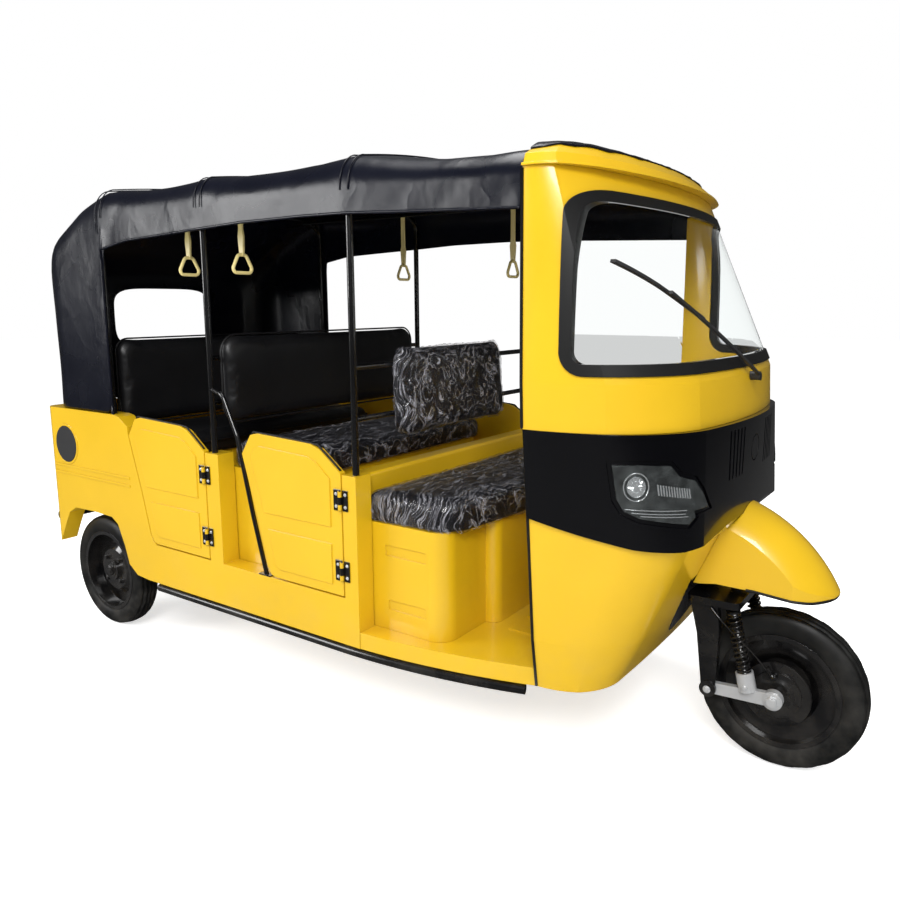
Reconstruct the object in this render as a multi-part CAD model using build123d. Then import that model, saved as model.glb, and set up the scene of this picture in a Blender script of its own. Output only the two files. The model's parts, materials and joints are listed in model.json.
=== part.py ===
from build123d import *
import math
import os

# Passenger auto rickshaw: three wheels, a steel and plastic cab, a tube frame with a vinyl canopy and
# three benches. Millimetres. X runs forward from the rear axle, Y to the left, Z up from the ground;
# the finished pieces are moved so that the origin lies on the ground at the middle of the length.

# ---- driving sizes -------------------------------------------------------------------------------
SEAT_GAP = 0.3             # how far apart pieces lie that rest on each other
TURN_FIT = 0.05            # radial play of what turns on what
RUN_GAP = 6.0              # free space round what moves

WHEELBASE = 2665.0
TYRE_RADIUS = 242.0
TYRE_WIDTH = 100.0
RIM_RADIUS = 166.0         # bead seat
RIM_WIDTH = 88.0
REAR_TRACK = 1008.0
HALF_WIDTH = 610.0         # outside of the body sides
SIDE_DEPTH = 70.0          # depth of the hollow body side
SKIN = 20.0                # wall of the body side and the tail

TAIL_X = -283.0
BODY_BOTTOM = 298.0
FLOOR_TOP = 352.0
SILL_TOP = 454.0
PILLAR_TOP = 856.0
QUARTER_TOP = 950.0
MID_PILLAR = (797.0, 868.0)
FRONT_PILLAR = (1467.0, 1524.0)
SIDE_BEND_X = 1430.0       # the sides start to draw in here, on an arc
SIDE_BEND_RADIUS = 2296.0

CAB_REAR = 2110.0
CAB_WALL = 18.0
BELT_TOP = 1056.0
ROOF_BASE = 1716.0

DOOR_THICK = 22.0
DOOR_HINGE_X = (791.0, 1461.0)
# door outline: distance behind the hinge line, height
DOOR_OUTLINE = [(0, 460), (0, 860), (90, 927), (131, 941), (380, 952), (414, 944), (461, 875),
                (395, 655), (354, 492), (338, 466), (318, 460)]

POST_X = (826.0, 1506.0)
POST_RADIUS = 11.0
CANOPY_HALF = 606.0
CANOPY_THICK = 7.0
POST_Y = CANOPY_HALF - CANOPY_THICK - SEAT_GAP - POST_RADIUS
VALANCE_Z = 1632.0
OPENING_X = 224.0          # rear edge of the side openings

STEER_RAKE = 25.0
STEER_X = 2500.0           # the steering axis passes here at STEER_Z
STEER_Z = 560.0

SILL_TUBE_Z = 277.0
SILL_TUBE_RADIUS = 15.0
BUMPER_X = -335.0
BUMPER_RADIUS = 20.0
BUMPER_Z = 442.0
BUMPER_HALF = 560.0
BUMPER_ARM_HALF = 18.0

FRONT_TIP = WHEELBASE + TYRE_RADIUS
REAR_TIP = BUMPER_X - BUMPER_RADIUS
MIDDLE_X = (FRONT_TIP + REAR_TIP) / 2


# ---- helpers -------------------------------------------------------------------------------------
def prism_y(points, y0, y1):
    """A prism on an outline of (x, z) points, from y0 to y1."""
    wire = Polyline(*[(x, y0, z) for x, z in points], close=True)
    return extrude(make_face(wire), amount=y1 - y0, dir=(0, 1, 0))


def prism_z(face, z0, z1):
    """A prism on a plan drawn at height z0, up to z1."""
    return extrude(face, amount=z1 - z0, dir=(0, 0, 1))


def block(x0, x1, y0, y1, z0, z1):
    """A box from its limits."""
    return Pos((x0 + x1) / 2, (y0 + y1) / 2, (z0 + z1) / 2) * Box(x1 - x0, y1 - y0, z1 - z0)


def tube(points, radius, bend=0.0, closed=False):
    """A round bar along a path, with bends of one radius at its corners."""
    path = FilletPolyline(*points, radius=bend, close=closed) if bend else Polyline(*points)
    return sweep(Plane(origin=path @ 0, z_dir=path % 0) * Circle(radius), path=path)


def rod(start, end, radius, bore=0.0):
    """A straight round bar or pipe between two points."""
    axis = Vector(*end) - Vector(*start)
    plane = Plane(origin=start, z_dir=axis)
    bar = extrude(plane * Circle(radius), amount=axis.length)
    if bore:
        bar -= extrude(plane * Circle(bore), amount=axis.length)
    return bar


def cross_rod(x, z, y, half, radius):
    """A round bar along Y, centred at y."""
    return rod((x, y - half, z), (x, y + half, z), radius)


def upright(x, y, z0, z1, radius):
    """A round bar standing along Z."""
    return rod((x, y, z0), (x, y, z1), radius)


def both_sides(piece):
    """The piece and its mirror image across the middle plane."""
    return [piece, piece.mirror(Plane.XZ)]


def steer_point(z, ahead=0.0, across=0.0):
    """A point at height z on the steering axis, moved ahead and across."""
    return (STEER_X - (z - STEER_Z) * math.tan(math.radians(STEER_RAKE)) + ahead, across, z)


def side_reach(x, inset=0.0):
    """Half width of the body at x, with its drawn-in front."""
    past = max(0.0, x - SIDE_BEND_X)
    return HALF_WIDTH - (SIDE_BEND_RADIUS - math.sqrt(SIDE_BEND_RADIUS ** 2 - past ** 2)) - inset


def body_plan(x0, x1, inset, z0, z1):
    """A slab with the body's plan outline between two stations."""
    mid = (SIDE_BEND_X + x1) / 2
    near = [(x, -side_reach(x, inset)) for x in (x0, SIDE_BEND_X, mid, x1)]
    far = [(x, -y) for x, y in reversed(near)]
    edges = [Line((*near[0], z0), (*near[1], z0)),
             ThreePointArc((*near[1], z0), (*near[2], z0), (*near[3], z0)),
             Line((*near[3], z0), (*far[0], z0)),
             ThreePointArc((*far[0], z0), (*far[1], z0), (*far[2], z0)),
             Line((*far[2], z0), (*far[3], z0)),
             Line((*far[3], z0), (*near[0], z0))]
    return extrude(make_face(Wire(edges)), amount=z1 - z0, dir=(0, 0, 1))


# ---- the cab's form ------------------------------------------------------------------------------
# height, half width at the rear edge, nose station
COWL_FORM = [(BODY_BOTTOM, 507, 2300), (450, 533, 2378), (795, 565, 2530), (BELT_TOP, 588, 2520)]
BELT_FORM = [(700, 566, 2545), (BELT_TOP, 602, 2552)]
UPPER_FORM = [(BELT_TOP, 601, 2535), (1180, 606, 2527), (ROOF_BASE, 608, 2288)]
# plans of the cab: share of its length ahead of the rear edge, share of its half width
LOW_PLAN = [(0.0, 1.0), (0.30, 0.985), (0.60, 0.94), (0.84, 0.84), (0.965, 0.66), (1.0, 0.0)]
BELT_PLAN = [(0.0, 1.0), (0.26, 0.986), (0.518, 0.934), (0.776, 0.784), (0.918, 0.589), (1.0, 0.0)]
TOP_PLAN = [(0.0, 1.0), (0.22, 0.995), (0.42, 0.965), (0.62, 0.84), (0.76, 0.69), (1.0, 0.0)]
PLAN_LEVELS = [(795.0, LOW_PLAN), (BELT_TOP, BELT_PLAN), (1180.0, BELT_PLAN), (ROOF_BASE, TOP_PLAN)]


def cab_plan(z):
    """The plan's shares at height z, blended between the levels on either side."""
    z = min(max(z, PLAN_LEVELS[0][0]), PLAN_LEVELS[-1][0])
    for (z0, low), (z1, high) in zip(PLAN_LEVELS, PLAN_LEVELS[1:]):
        if z <= z1:
            up = (z - z0) / (z1 - z0)
            return [(a + (c - a) * up, b + (d - b) * up) for (a, b), (c, d) in zip(low, high)]
    return high


def cab_section(z, half, nose, inset, rear):
    """The cab's closed plan at one height, drawn in by inset and cut off at the rear station."""
    length = nose - inset - CAB_REAR
    pts = [(CAB_REAR + a * length, (half - inset) * b) for a, b in cab_plan(z)]
    near = [(x, -y, z) for x, y in pts]
    far = [(x, y, z) for x, y in pts]
    edges = [Line((rear, near[0][1], z), near[0])] if rear < CAB_REAR else []
    edges += [ThreePointArc(near[0], near[1], near[2]), ThreePointArc(near[2], near[3], near[4]),
              ThreePointArc(near[4], near[5], far[4]), ThreePointArc(far[4], far[3], far[2]),
              ThreePointArc(far[2], far[1], far[0])]
    if rear < CAB_REAR:
        edges += [Line(far[0], (rear, far[0][1], z)), Line((rear, far[0][1], z), (rear, near[0][1], z))]
    else:
        edges += [Line(far[0], near[0])]
    return make_face(Wire(edges))


def cab_form(levels, inset=0.0, rear=CAB_REAR):
    """A solid lofted through the cab's plans."""
    return loft([cab_section(z, half, nose, inset, rear) for z, half, nose in levels], ruled=True)


def cab_layer(levels, outer, inner):
    """The layer between two insets of the cab's form, open at the rear."""
    low = [(levels[0][0] - 1, *levels[0][1:])] + list(levels[1:-1]) + [(levels[-1][0] + 1, *levels[-1][1:])]
    return cab_form(levels, outer) - cab_form(low, inner, CAB_REAR - 40)


# ---- cab -----------------------------------------------------------------------------------------
WELL_RADIUS = 185.0
WELL_TOP = 575.0
WELL_X = 2515.0
WELL_WALL = 8.0
COLUMN_HOLE = 42.0


def well_core(grow):
    """The upright cylinder round the front wheel's well, grown by grow."""
    return upright(WELL_X, 0, BODY_BOTTOM - 2, WELL_TOP + grow, WELL_RADIUS + grow)


def column_hole():
    """The passage of the steering stem through the cab."""
    return rod(steer_point(WELL_TOP - 60), steer_point(WELL_TOP + 190), COLUMN_HOLE)


def make_cab_cowl():
    """The lower cab: a shell, open round the well behind the front wheel."""
    return cab_layer(COWL_FORM, 0, CAB_WALL) - well_core(WELL_WALL + SEAT_GAP) - column_hole()


def well_liner():
    """The inner guard round the back and top of the well."""
    return (well_core(WELL_WALL) & cab_form(COWL_FORM, 1)) - well_core(0) - column_hole()


WINDOW = (2214.0, 1200.0, 1664.0)     # rear edge, bottom, top of the windshield opening
WINDOW_CORNER = 62.0
SEAL_WIDTH = 30.0


def window_prism(inset):
    """The windshield opening, seen from the side, drawn in by inset and run right across."""
    x0, z0, z1 = WINDOW[0] + inset, WINDOW[1] + inset, WINDOW[2] - inset
    slab = block(x0, 2700, -700, 700, z0, z1)
    corners = slab.edges().filter_by(Axis.Y).group_by(Axis.X)[0]
    return fillet(corners, WINDOW_CORNER - inset)


def make_cab_upper():
    """The upper cab: pillars, scuttle and header round the windshield opening."""
    return cab_layer(UPPER_FORM, 0, CAB_WALL) - window_prism(0)


def make_windshield_seal():
    """The rubber frame between the opening and the glass."""
    band = window_prism(SEAT_GAP) - window_prism(SEAL_WIDTH)
    return cab_layer(UPPER_FORM, -6, 14) & band


def make_windshield_glass():
    """The wrap-round glass inside the seal."""
    return cab_layer(UPPER_FORM, 2, 8) & window_prism(SEAL_WIDTH + SEAT_GAP)


# height, half width and nose of the dome
ROOF_FORM = [(ROOF_BASE + SEAT_GAP, 609, 2308), (1748, 596, 2288), (1777, 540, 2252), (1797, 420, 2204),
             (1806, 220, 2150)]
VISOR_HALF = 617.0
VISOR_NOSE = 2326.0
VISOR_THICK = 7.0
ROOF_WALL = 12.0


def arch_face(x, half, side_z, shoulder_z, shoulder_in, top_z, bottom_z):
    """Upright sides, round shoulders and a flat crown, at station x."""
    flank = (half - 0.32 * shoulder_in, side_z + 0.72 * (shoulder_z - side_z))
    near = [(-half, bottom_z), (-half, side_z), (-flank[0], flank[1]), (-half + shoulder_in, shoulder_z)]
    pts = [(x, y, z) for y, z in near]
    opp = [(x, -y, z) for y, z in near]
    edges = [Line(pts[0], pts[1]), ThreePointArc(pts[1], pts[2], pts[3]),
             ThreePointArc(pts[3], (x, 0, top_z), opp[3]), ThreePointArc(opp[3], opp[2], opp[1]),
             Line(opp[1], opp[0]), Line(opp[0], pts[0])]
    return make_face(Wire(edges))


def make_cab_roof():
    """The cab roof: a shallow dome on a thin visor lip."""
    base = ROOF_FORM[0][0]
    visor = cab_form([(base, VISOR_HALF, VISOR_NOSE), (base + VISOR_THICK, VISOR_HALF - 2, VISOR_NOSE - 4)])
    wall = ROOF_WALL
    inner = [(base - 20, ROOF_FORM[0][1] - 18, ROOF_FORM[0][2] - 20)]
    inner += [(z - wall, half - wall * 1.3, nose - wall * 1.6) for z, half, nose in ROOF_FORM[1:]]
    return cab_form(ROOF_FORM) + visor - cab_form(inner, rear=CAB_REAR - 20)


LAMP_DEPTH = 9.0
LAMP_ORIGIN = (2480.0, -500.0, 890.0)
LAMP_TURN = 48.0
LAMP_STEP = 12.0           # width of the sunk frame round the lens
STEP_DEPTH = 4.0
# the lens from the front: across, up
LAMP_OUTLINE = [(-138, 88), (-71, 90), (12, 85), (38, 56), (86, 41), (112, 8), (136, -34), (84, -36), (88, -54),
                (68, -70), (-67, -48), (-106, -30), (-124, 0)]
# the fascia's lower edge from the side
BELT_EDGE = [(CAB_REAR + 1, 812), (2250, 785), (2400, 758), (2500, 748), (2528, 752), (2542, 776)]
SLOTS = (112, 137, 162, 187, 212)
SLOT_HALF = 5.0
SLOT_SPAN = (900.0, 1036.0)
BADGE = (962.0, 40.0, 36.0)            # height, outer and inner radius of the round moulding
GROOVE = 4.0


def lamp_prism(grow):
    """The near headlamp's outline run through the corner of the fascia, grown by grow."""
    turn = math.radians(LAMP_TURN)
    plane = Plane(origin=LAMP_ORIGIN, x_dir=(math.sin(turn), math.cos(turn), 0),
                  z_dir=(math.cos(turn), -math.sin(turn), 0))
    outline = make_face(Polyline(*LAMP_OUTLINE, close=True))
    if grow:
        outline = offset(outline, grow, kind=Kind.INTERSECTION)
    return extrude(plane * outline, amount=160, both=True)


def belt_side():
    """The fascia's outline from the side, run right across."""
    top = BELT_TOP - SEAT_GAP
    return prism_y(BELT_EDGE + [(2620, 778), (2620, top), (CAB_REAR + 1, top)], -700, 700)


def belt_skin(depth):
    """The outer layer of the fascia's form."""
    return cab_form(BELT_FORM) - cab_form(BELT_FORM, depth)


def make_front_fascia():
    """The black belt round the nose: lamp pockets, grille slots and a round moulding."""
    inner = cab_form(COWL_FORM[1:-1] + [(BELT_TOP + 1, *COWL_FORM[-1][1:])], -SEAT_GAP, CAB_REAR - 40)
    belt = (cab_form(BELT_FORM) - inner) & belt_side()
    pocket = (belt_skin(LAMP_DEPTH) & lamp_prism(SEAT_GAP)) + (belt_skin(STEP_DEPTH) & lamp_prism(LAMP_STEP))
    z, outer, hole = BADGE
    marks = rod((2400, 0, z), (2620, 0, z), outer, hole)
    for y in SLOTS:
        for side in (-1, 1):
            marks += block(2400, 2620, side * y - SLOT_HALF, side * y + SLOT_HALF, *SLOT_SPAN)
    return belt - pocket - pocket.mirror(Plane.XZ) - (belt_skin(GROOVE) & marks)


def make_headlamps():
    """Two faceted lamp lenses let into the fascia's corners."""
    low, high = BELT_FORM
    layer = cab_form([(low[0] - 1, *low[1:]), high], -2)
    layer -= cab_form([(low[0] - 2, *low[1:]), (high[0] + 1, *high[1:])], LAMP_DEPTH - SEAT_GAP, CAB_REAR - 40)
    layer = layer & lamp_prism(0) & block(2200, 2700, -700, -150, 700, 1100)
    return both_sides(layer - cab_form(COWL_FORM[1:], -SEAT_GAP))


FENDER_HALF = 126.0
FENDER_WALL = 6.0
FENDER_AXIS = (2384.0, 357.0)          # the crest is an arc round this axis
FENDER_CREST = 469.0
FENDER_ARCH = 66.0                     # how far the crown stands over the flanks
FENDER_CORE = 150.0
FENDER_PLAN = [(2620.0, 0.0), (2762.0, 34.0), (2807.0, FENDER_HALF)]     # station, how far drawn in
FENDER_EDGE = [(2350, 556), (2443, 558), (2490, 566), (2600, 565), (2690, 558), (2750, 554), (2790, 557),
               (2830, 570)]


def fender_form(inset):
    """The fender's full form, drawn in by inset: an arch turned round the axis, narrowing to a tip."""
    crest = FENDER_CREST - inset
    half = FENDER_HALF - inset
    flank = crest - FENDER_ARCH
    edges = [Line((FENDER_CORE, -half), (flank, -half)),
             ThreePointArc((flank, -half), (crest, 0), (flank, half)),
             Line((flank, half), (FENDER_CORE, half)), Line((FENDER_CORE, half), (FENDER_CORE, -half))]
    x, z = FENDER_AXIS
    ring = Pos(x, 0, z) * revolve(make_face(Wire(edges)), Axis.Y)
    near = [(x - inset * (i == 2), y - FENDER_HALF + inset * (i < 2)) for i, (x, y) in enumerate(FENDER_PLAN)]
    far = [(x, -y) for x, y in near]
    plan = [Line((2300, near[0][1]), near[0]), ThreePointArc(*near), ThreePointArc(*reversed(far)),
            Line(far[0], (2300, far[0][1])), Line((2300, far[0][1]), (2300, near[0][1]))]
    return ring & prism_z(Pos(0, 0, 500) * make_face(Wire(plan)), 500, 900)


def make_front_fender():
    """The fender over the front wheel, fixed to the cab."""
    shell = fender_form(0) - fender_form(FENDER_WALL)
    shell &= prism_y(FENDER_EDGE + [(2830, 900), (2350, 900)], -200, 200)
    keep_out = cab_form(COWL_FORM[1:], -SEAT_GAP)
    return shell - keep_out - (cab_form(BELT_FORM, -SEAT_GAP) & Pos(0, 0, -SEAT_GAP) * belt_side())


# ---- running gear --------------------------------------------------------------------------------
def wheel_at(piece, x, y):
    """Puts a wheel piece, made round the Y axis, at its hub."""
    return Pos(x, y, TYRE_RADIUS) * piece


def make_tyre():
    """A ribbed road tyre as a ring."""
    half = TYRE_WIDTH / 2
    bead = RIM_WIDTH / 2 - 6
    profile = [(RIM_RADIUS, -bead), (RIM_RADIUS + 12, -bead)]
    right = ThreePointArc((RIM_RADIUS + 12, -bead), (RIM_RADIUS + 38, -half), (TYRE_RADIUS - 10, -half + 12))
    tread = ThreePointArc((TYRE_RADIUS - 10, -half + 12), (TYRE_RADIUS, 0), (TYRE_RADIUS - 10, half - 12))
    left = ThreePointArc((TYRE_RADIUS - 10, half - 12), (RIM_RADIUS + 38, half), (RIM_RADIUS + 12, bead))
    wire = Wire([Line(profile[0], profile[1]), right, tread, left,
                 Line((RIM_RADIUS + 12, bead), (RIM_RADIUS, bead)),
                 Line((RIM_RADIUS, bead), (RIM_RADIUS, -bead))])
    return revolve(make_face(wire), Axis.Y)


def make_rim(bore, drum, drum_side):
    """A pressed steel wheel: barrel with flanges, dished disc, hub and brake drum."""
    half = RIM_WIDTH / 2
    seat = RIM_RADIUS - SEAT_GAP
    lip = half - 6 + SEAT_GAP
    ring = [(seat - 7, -half), (seat + 9, -half), (seat + 9, -lip), (seat, -lip), (seat, lip), (seat + 9, lip),
            (seat + 9, half), (seat - 7, half)]
    rim = revolve(make_face(Polyline(*ring, close=True)), Axis.Y)
    dish = [(40, -14), (88, -14), (112, 6), (seat - 3, 14), (seat - 3, 22), (108, 14), (84, -6), (40, -6)]
    rim += revolve(make_face(Polyline(*[(r, drum_side * y) for r, y in dish], close=True)), Axis.Y)
    rim += cross_rod(0, 0, 0, 30, 46)
    rim += cross_rod(0, 0, drum_side * 24, 20, drum)
    return rim - cross_rod(0, 0, 0, 70, bore)


AXLE_RADIUS = 14.0
LEG_Y = 100.0
LEG_HALF = 14.0
# pressed leg from the side
PIVOT = (2479.0, 231.0)
CROWN_Z = 508.0
LEG_OUTLINE = [(2412, CROWN_Z), (2496, CROWN_Z), (2504, 420), (2500, 231), (2458, 231), (2438, 400)]
STEM_RADIUS = 16.0
STEM_TOP = 1100.0


LINK_HALF = 9.0
EYE_RADIUS = 21.0
BOLT_RADIUS = 7.0


def make_fork():
    """Leading-link fork: stem, crown, two legs with a clevis and bolt for each link."""
    stem = rod(steer_point(CROWN_Z - 15), steer_point(STEM_TOP), STEM_RADIUS)
    fork = stem + rod(steer_point(CROWN_Z - 15), steer_point(CROWN_Z + 12), 30)
    top = (STEER_X - 66, CROWN_Z)
    crown_bar = block(top[0] - 30, STEER_X + 60, -LEG_Y - 22, LEG_Y + 22, CROWN_Z - 14, CROWN_Z + 8)
    fork += fillet(crown_bar.edges().filter_by(Axis.Z), 18)
    for y in (-LEG_Y, LEG_Y):
        leg = prism_y(LEG_OUTLINE, y - LEG_HALF, y + LEG_HALF)
        leg += cross_rod(*PIVOT, y, 20, 25)
        leg -= cross_rod(*PIVOT, y, LINK_HALF + SEAT_GAP, EYE_RADIUS + 3)
        slot = LINK_HALF + SEAT_GAP
        leg -= block(PIVOT[0], PIVOT[0] + 40, y - slot, y + slot, PIVOT[1] - 24, PIVOT[1] + 24)
        fork += leg + cross_rod(*PIVOT, y, 24, BOLT_RADIUS)
    return fork


SHOCK_TOP = (2536.5, 493.7)
SHOCK_FOOT = (2590.0, 262.0)
CUP_SHARE = 0.19           # the cup covers this share of the shock's length
SHOCK_END = 0.975
SHOCK_RADIUS = 22.0


def shock_point(share, y):
    """A point on the shock's axis, from its foot (0) to its top (1)."""
    return (SHOCK_FOOT[0] + share * (SHOCK_TOP[0] - SHOCK_FOOT[0]), y,
            SHOCK_FOOT[1] + share * (SHOCK_TOP[1] - SHOCK_FOOT[1]))


def make_fork_links():
    """The two leading links with the shock cups, the front axle and the brake plate."""
    links = rod((WHEELBASE, -LEG_Y - 12, TYRE_RADIUS), (WHEELBASE, LEG_Y + 12, TYRE_RADIUS), AXLE_RADIUS)
    for y in (-LEG_Y, LEG_Y):
        arm = prism_y([(PIVOT[0], 214), (WHEELBASE - 10, 222), (WHEELBASE - 10, 262), (PIVOT[0], 248)],
                      y - LINK_HALF, y + LINK_HALF)
        arm += cross_rod(*PIVOT, y, LINK_HALF, EYE_RADIUS)
        arm -= cross_rod(*PIVOT, y, LINK_HALF + 1, BOLT_RADIUS + TURN_FIT)
        links += arm + cross_rod(WHEELBASE, TYRE_RADIUS, y, 12, 28)
        links += rod(shock_point(-0.05, y), shock_point(CUP_SHARE, y), SHOCK_RADIUS + 4)
    return links


BRAKE_FACE = 60.0
BRAKE_RADIUS = 97.0


def make_front_brake():
    """The brake's backing plate on the axle, with its stepped face and cam boss."""
    plate = cross_rod(WHEELBASE, TYRE_RADIUS, -BRAKE_FACE + 3.5, 3.5, BRAKE_RADIUS)
    plate += cross_rod(WHEELBASE, TYRE_RADIUS, -BRAKE_FACE - 3, 3, 70)
    plate += cross_rod(WHEELBASE, TYRE_RADIUS, -BRAKE_FACE - 12, 12, 24)
    plate += cross_rod(WHEELBASE - 8, TYRE_RADIUS + 56, -BRAKE_FACE - 9, 9, 10)
    return plate - cross_rod(WHEELBASE, TYRE_RADIUS, -BRAKE_FACE, 40, AXLE_RADIUS + SEAT_GAP)


def make_front_shocks():
    """Coil-over dampers from the links' cups to the crown."""
    start = CUP_SHARE + 0.001
    return [rod(shock_point(start, y), shock_point(SHOCK_END, y), SHOCK_RADIUS) for y in (-LEG_Y, LEG_Y)]


def make_handlebar():
    """A swept-back handlebar on the steering stem."""
    top = steer_point(STEM_TOP)
    bar_z = STEM_TOP + 20
    bar = tube([(top[0] - 90, -330, bar_z + 10), (top[0] - 60, -190, bar_z + 10), (top[0], -90, bar_z),
                (top[0], 90, bar_z), (top[0] - 60, 190, bar_z + 10), (top[0] - 90, 330, bar_z + 10)], 11, 40)
    clamp = rod(steer_point(STEM_TOP + SEAT_GAP), steer_point(STEM_TOP + 34), 24)
    return bar + clamp


def make_rear_axle():
    """Live axle: tubes, differential, brake plates and the propeller shaft."""
    inner = REAR_TRACK / 2 - 54
    axle = rod((0, -inner, TYRE_RADIUS), (0, inner, TYRE_RADIUS), 33)
    axle += rod((0, -REAR_TRACK / 2 - 44, TYRE_RADIUS), (0, REAR_TRACK / 2 + 44, TYRE_RADIUS), AXLE_RADIUS)
    axle += Pos(0, 0, TYRE_RADIUS) * Sphere(92)
    axle += rod((60, 0, TYRE_RADIUS + 20), (1529, 0, TYRE_RADIUS + 20), 20)
    for side in (-1, 1):
        axle += rod((0, side * (inner - 8), TYRE_RADIUS), (0, side * inner, TYRE_RADIUS), 86)
    return axle


SPRING_Y = 330.0
RAIL_KICK_Z = 342.0


def make_leaf_springs():
    """A three-leaf pack over the axle on each side."""
    packs = []
    seat = TYRE_RADIUS + 33 + SEAT_GAP
    for side in (-1, 1):
        pack = None
        for level, reach in enumerate((120, 190, 262)):
            z = seat + 8 * level
            rise = RAIL_KICK_Z - 12 - seat - 16
            share = (reach / 262) ** 2
            under = ThreePointArc((-reach, z + rise * share), (0, z), (reach, z + rise * share))
            over = ThreePointArc((-reach, z + 8 + rise * share), (0, z + 8), (reach, z + 8 + rise * share))
            face = make_face(Wire([under, Line(under @ 1, over @ 1), over, Line(over @ 0, under @ 0)]))
            leaf = extrude(Plane.XZ * face, amount=25, both=True)
            pack = leaf if pack is None else pack + leaf
        packs.append(Pos(0, side * SPRING_Y, 0) * pack)
    return packs


# ---- chassis and floor ---------------------------------------------------------------------------
RAIL_Y = 300.0
RAIL_TOP = 339.7
FLOOR_REAR = 446.0


def sill_tube(side):
    """The tube under one sill, bent in at the front like the body."""
    front = 2072
    mid = (SIDE_BEND_X + front) / 2
    stops = [(x, side * side_reach(x, 11), SILL_TUBE_Z) for x in (455, SIDE_BEND_X, mid, front)]
    path = Wire([Line(stops[0], stops[1]), ThreePointArc(*stops[1:])])
    return sweep(Plane(origin=path @ 0, z_dir=path % 0) * Circle(SILL_TUBE_RADIUS), path=path)


def make_chassis_frame():
    """Ladder frame with outriggers, sill tubes, rear bumper, neck and head tube."""
    kick = [(2255, RAIL_TOP - 60), (2255, RAIL_TOP), (440, RAIL_TOP), (300, 402), (-250, 402),
            (-250, RAIL_KICK_Z), (280, RAIL_KICK_Z), (420, RAIL_TOP - 60)]
    frame = None
    for side in (-1, 1):
        rail = prism_y(kick, side * RAIL_Y - 22, side * RAIL_Y + 22)
        frame = rail if frame is None else frame + rail
        near, far = side * RAIL_Y - BUMPER_ARM_HALF, side * RAIL_Y + BUMPER_ARM_HALF
        frame += block(BUMPER_X, -230, near, far, BUMPER_Z - 60, BUMPER_Z)
        frame += sill_tube(side)
        for x in (520, 960, 1450, 1960):
            frame += rod((x, side * (RAIL_Y + 15), 290), (x, side * side_reach(x, 16), SILL_TUBE_Z + 2), 8)
    for x, z in ((-240, 372), (330, 372), (700, 310), (1250, 310), (1511, 302), (1804, 302), (2230, 310)):
        deep = 24 if x < 400 else 10
        frame += block(x - 18, x + 18, -RAIL_Y, RAIL_Y, z - deep, z + 10)
    arm_end = RAIL_Y + BUMPER_ARM_HALF
    frame += cross_rod(BUMPER_X, BUMPER_Z, 0, arm_end + 1, BUMPER_RADIUS - 2)
    free = (BUMPER_HALF - arm_end) / 2
    for side in (-1, 1):
        frame += cross_rod(BUMPER_X, BUMPER_Z, side * (arm_end + free), free, BUMPER_RADIUS)
    neck_side = [(2225, 284), (2270, 284), (2300, 660), (2400, 728), (2385, 800), (2270, 730), (2225, 330)]
    neck = prism_y(neck_side, -35, 35)
    head = rod(steer_point(712), steer_point(860), 32)
    frame += neck + head + well_liner() + block(2275, 2326, -30, 30, 440, 460)
    return frame - rod(steer_point(600), steer_point(900), STEM_RADIUS + TURN_FIT)


def make_floor_pan():
    """The pressed floor: a plate with a turned-down edge and raised ribs at the driver's feet."""
    z0, z1 = BODY_BOTTOM, FLOOR_TOP
    split = FRONT_PILLAR[1] + SEAT_GAP
    half = HALF_WIDTH - SIDE_DEPTH - SEAT_GAP
    inner = block(FLOOR_REAR, split, -half, half, z0, z1)
    ahead = body_plan(0, CAB_REAR - SEAT_GAP, 0, z0, z1) & block(split, CAB_REAR, -700, 700, z0, z1)
    _, cab_half, cab_nose = COWL_FORM[0]
    nose = cab_form([(z0, cab_half, cab_nose), (z1, cab_half, cab_nose)], CAB_WALL + SEAT_GAP, CAB_REAR - 1)
    pan = inner + ahead + nose
    hollow = block(FLOOR_REAR - 1, 2262, -RAIL_Y - 190, RAIL_Y + 190, z0 - 1, RAIL_TOP + SEAT_GAP)
    hollow &= body_plan(0, 2262, 70, z0 - 1, RAIL_TOP + SEAT_GAP)
    pan -= hollow
    pan -= block(1512, 1796, -185, 185, z0 - 5, z1 + 5)
    pan -= upright(WELL_X, 0, z0 - 5, z1 + 10, WELL_RADIUS + WELL_WALL + 1)
    for y in (-300, -180, 180, 300):
        pan += block(1900, 2080, y - 22, y + 22, z1 - 1, z1 + 5)
    return pan - block(2218, 2330, -40, 40, z0 - 5, z1 + 10)


# ---- body ----------------------------------------------------------------------------------------
LAMP_CAP = (-133.0, 797.0, 77.0)      # x, z and radius of the round cap on the quarter
MOULDING_Z = (670.0, 702.0)
MOULDING = 3.0                         # how far the mouldings stand out


def side_outline():
    """The body side seen from outside, with the wheel arch and the two door apertures."""
    rear_hinge = DOOR_HINGE_X[0]
    arch = [(TAIL_X, 345), (-245, 353), (-200, 429), (-157, 494), (-105, 522), (42, 526), (167, 522),
            (207, 498), (246, 416), (271, 340), (322, 304), (403, BODY_BOTTOM)]
    front = [(FRONT_PILLAR[1], BODY_BOTTOM), (FRONT_PILLAR[1], PILLAR_TOP), (FRONT_PILLAR[0], PILLAR_TOP),
             (FRONT_PILLAR[0], SILL_TOP), (MID_PILLAR[1], SILL_TOP), (MID_PILLAR[1], PILLAR_TOP),
             (MID_PILLAR[0], PILLAR_TOP), (MID_PILLAR[0], SILL_TOP)]
    free_edge = [(rear_hinge - back - RUN_GAP, z) for back, z in DOOR_OUTLINE[::-1]
                 if back > 300 and z < 940 and z > SILL_TOP + 10]
    quarter = [(rear_hinge - 318 - RUN_GAP, SILL_TOP)] + free_edge
    quarter += [(323, 909), (266, 944), (232, QUARTER_TOP), (TAIL_X, QUARTER_TOP)]
    return arch + front + quarter


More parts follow.
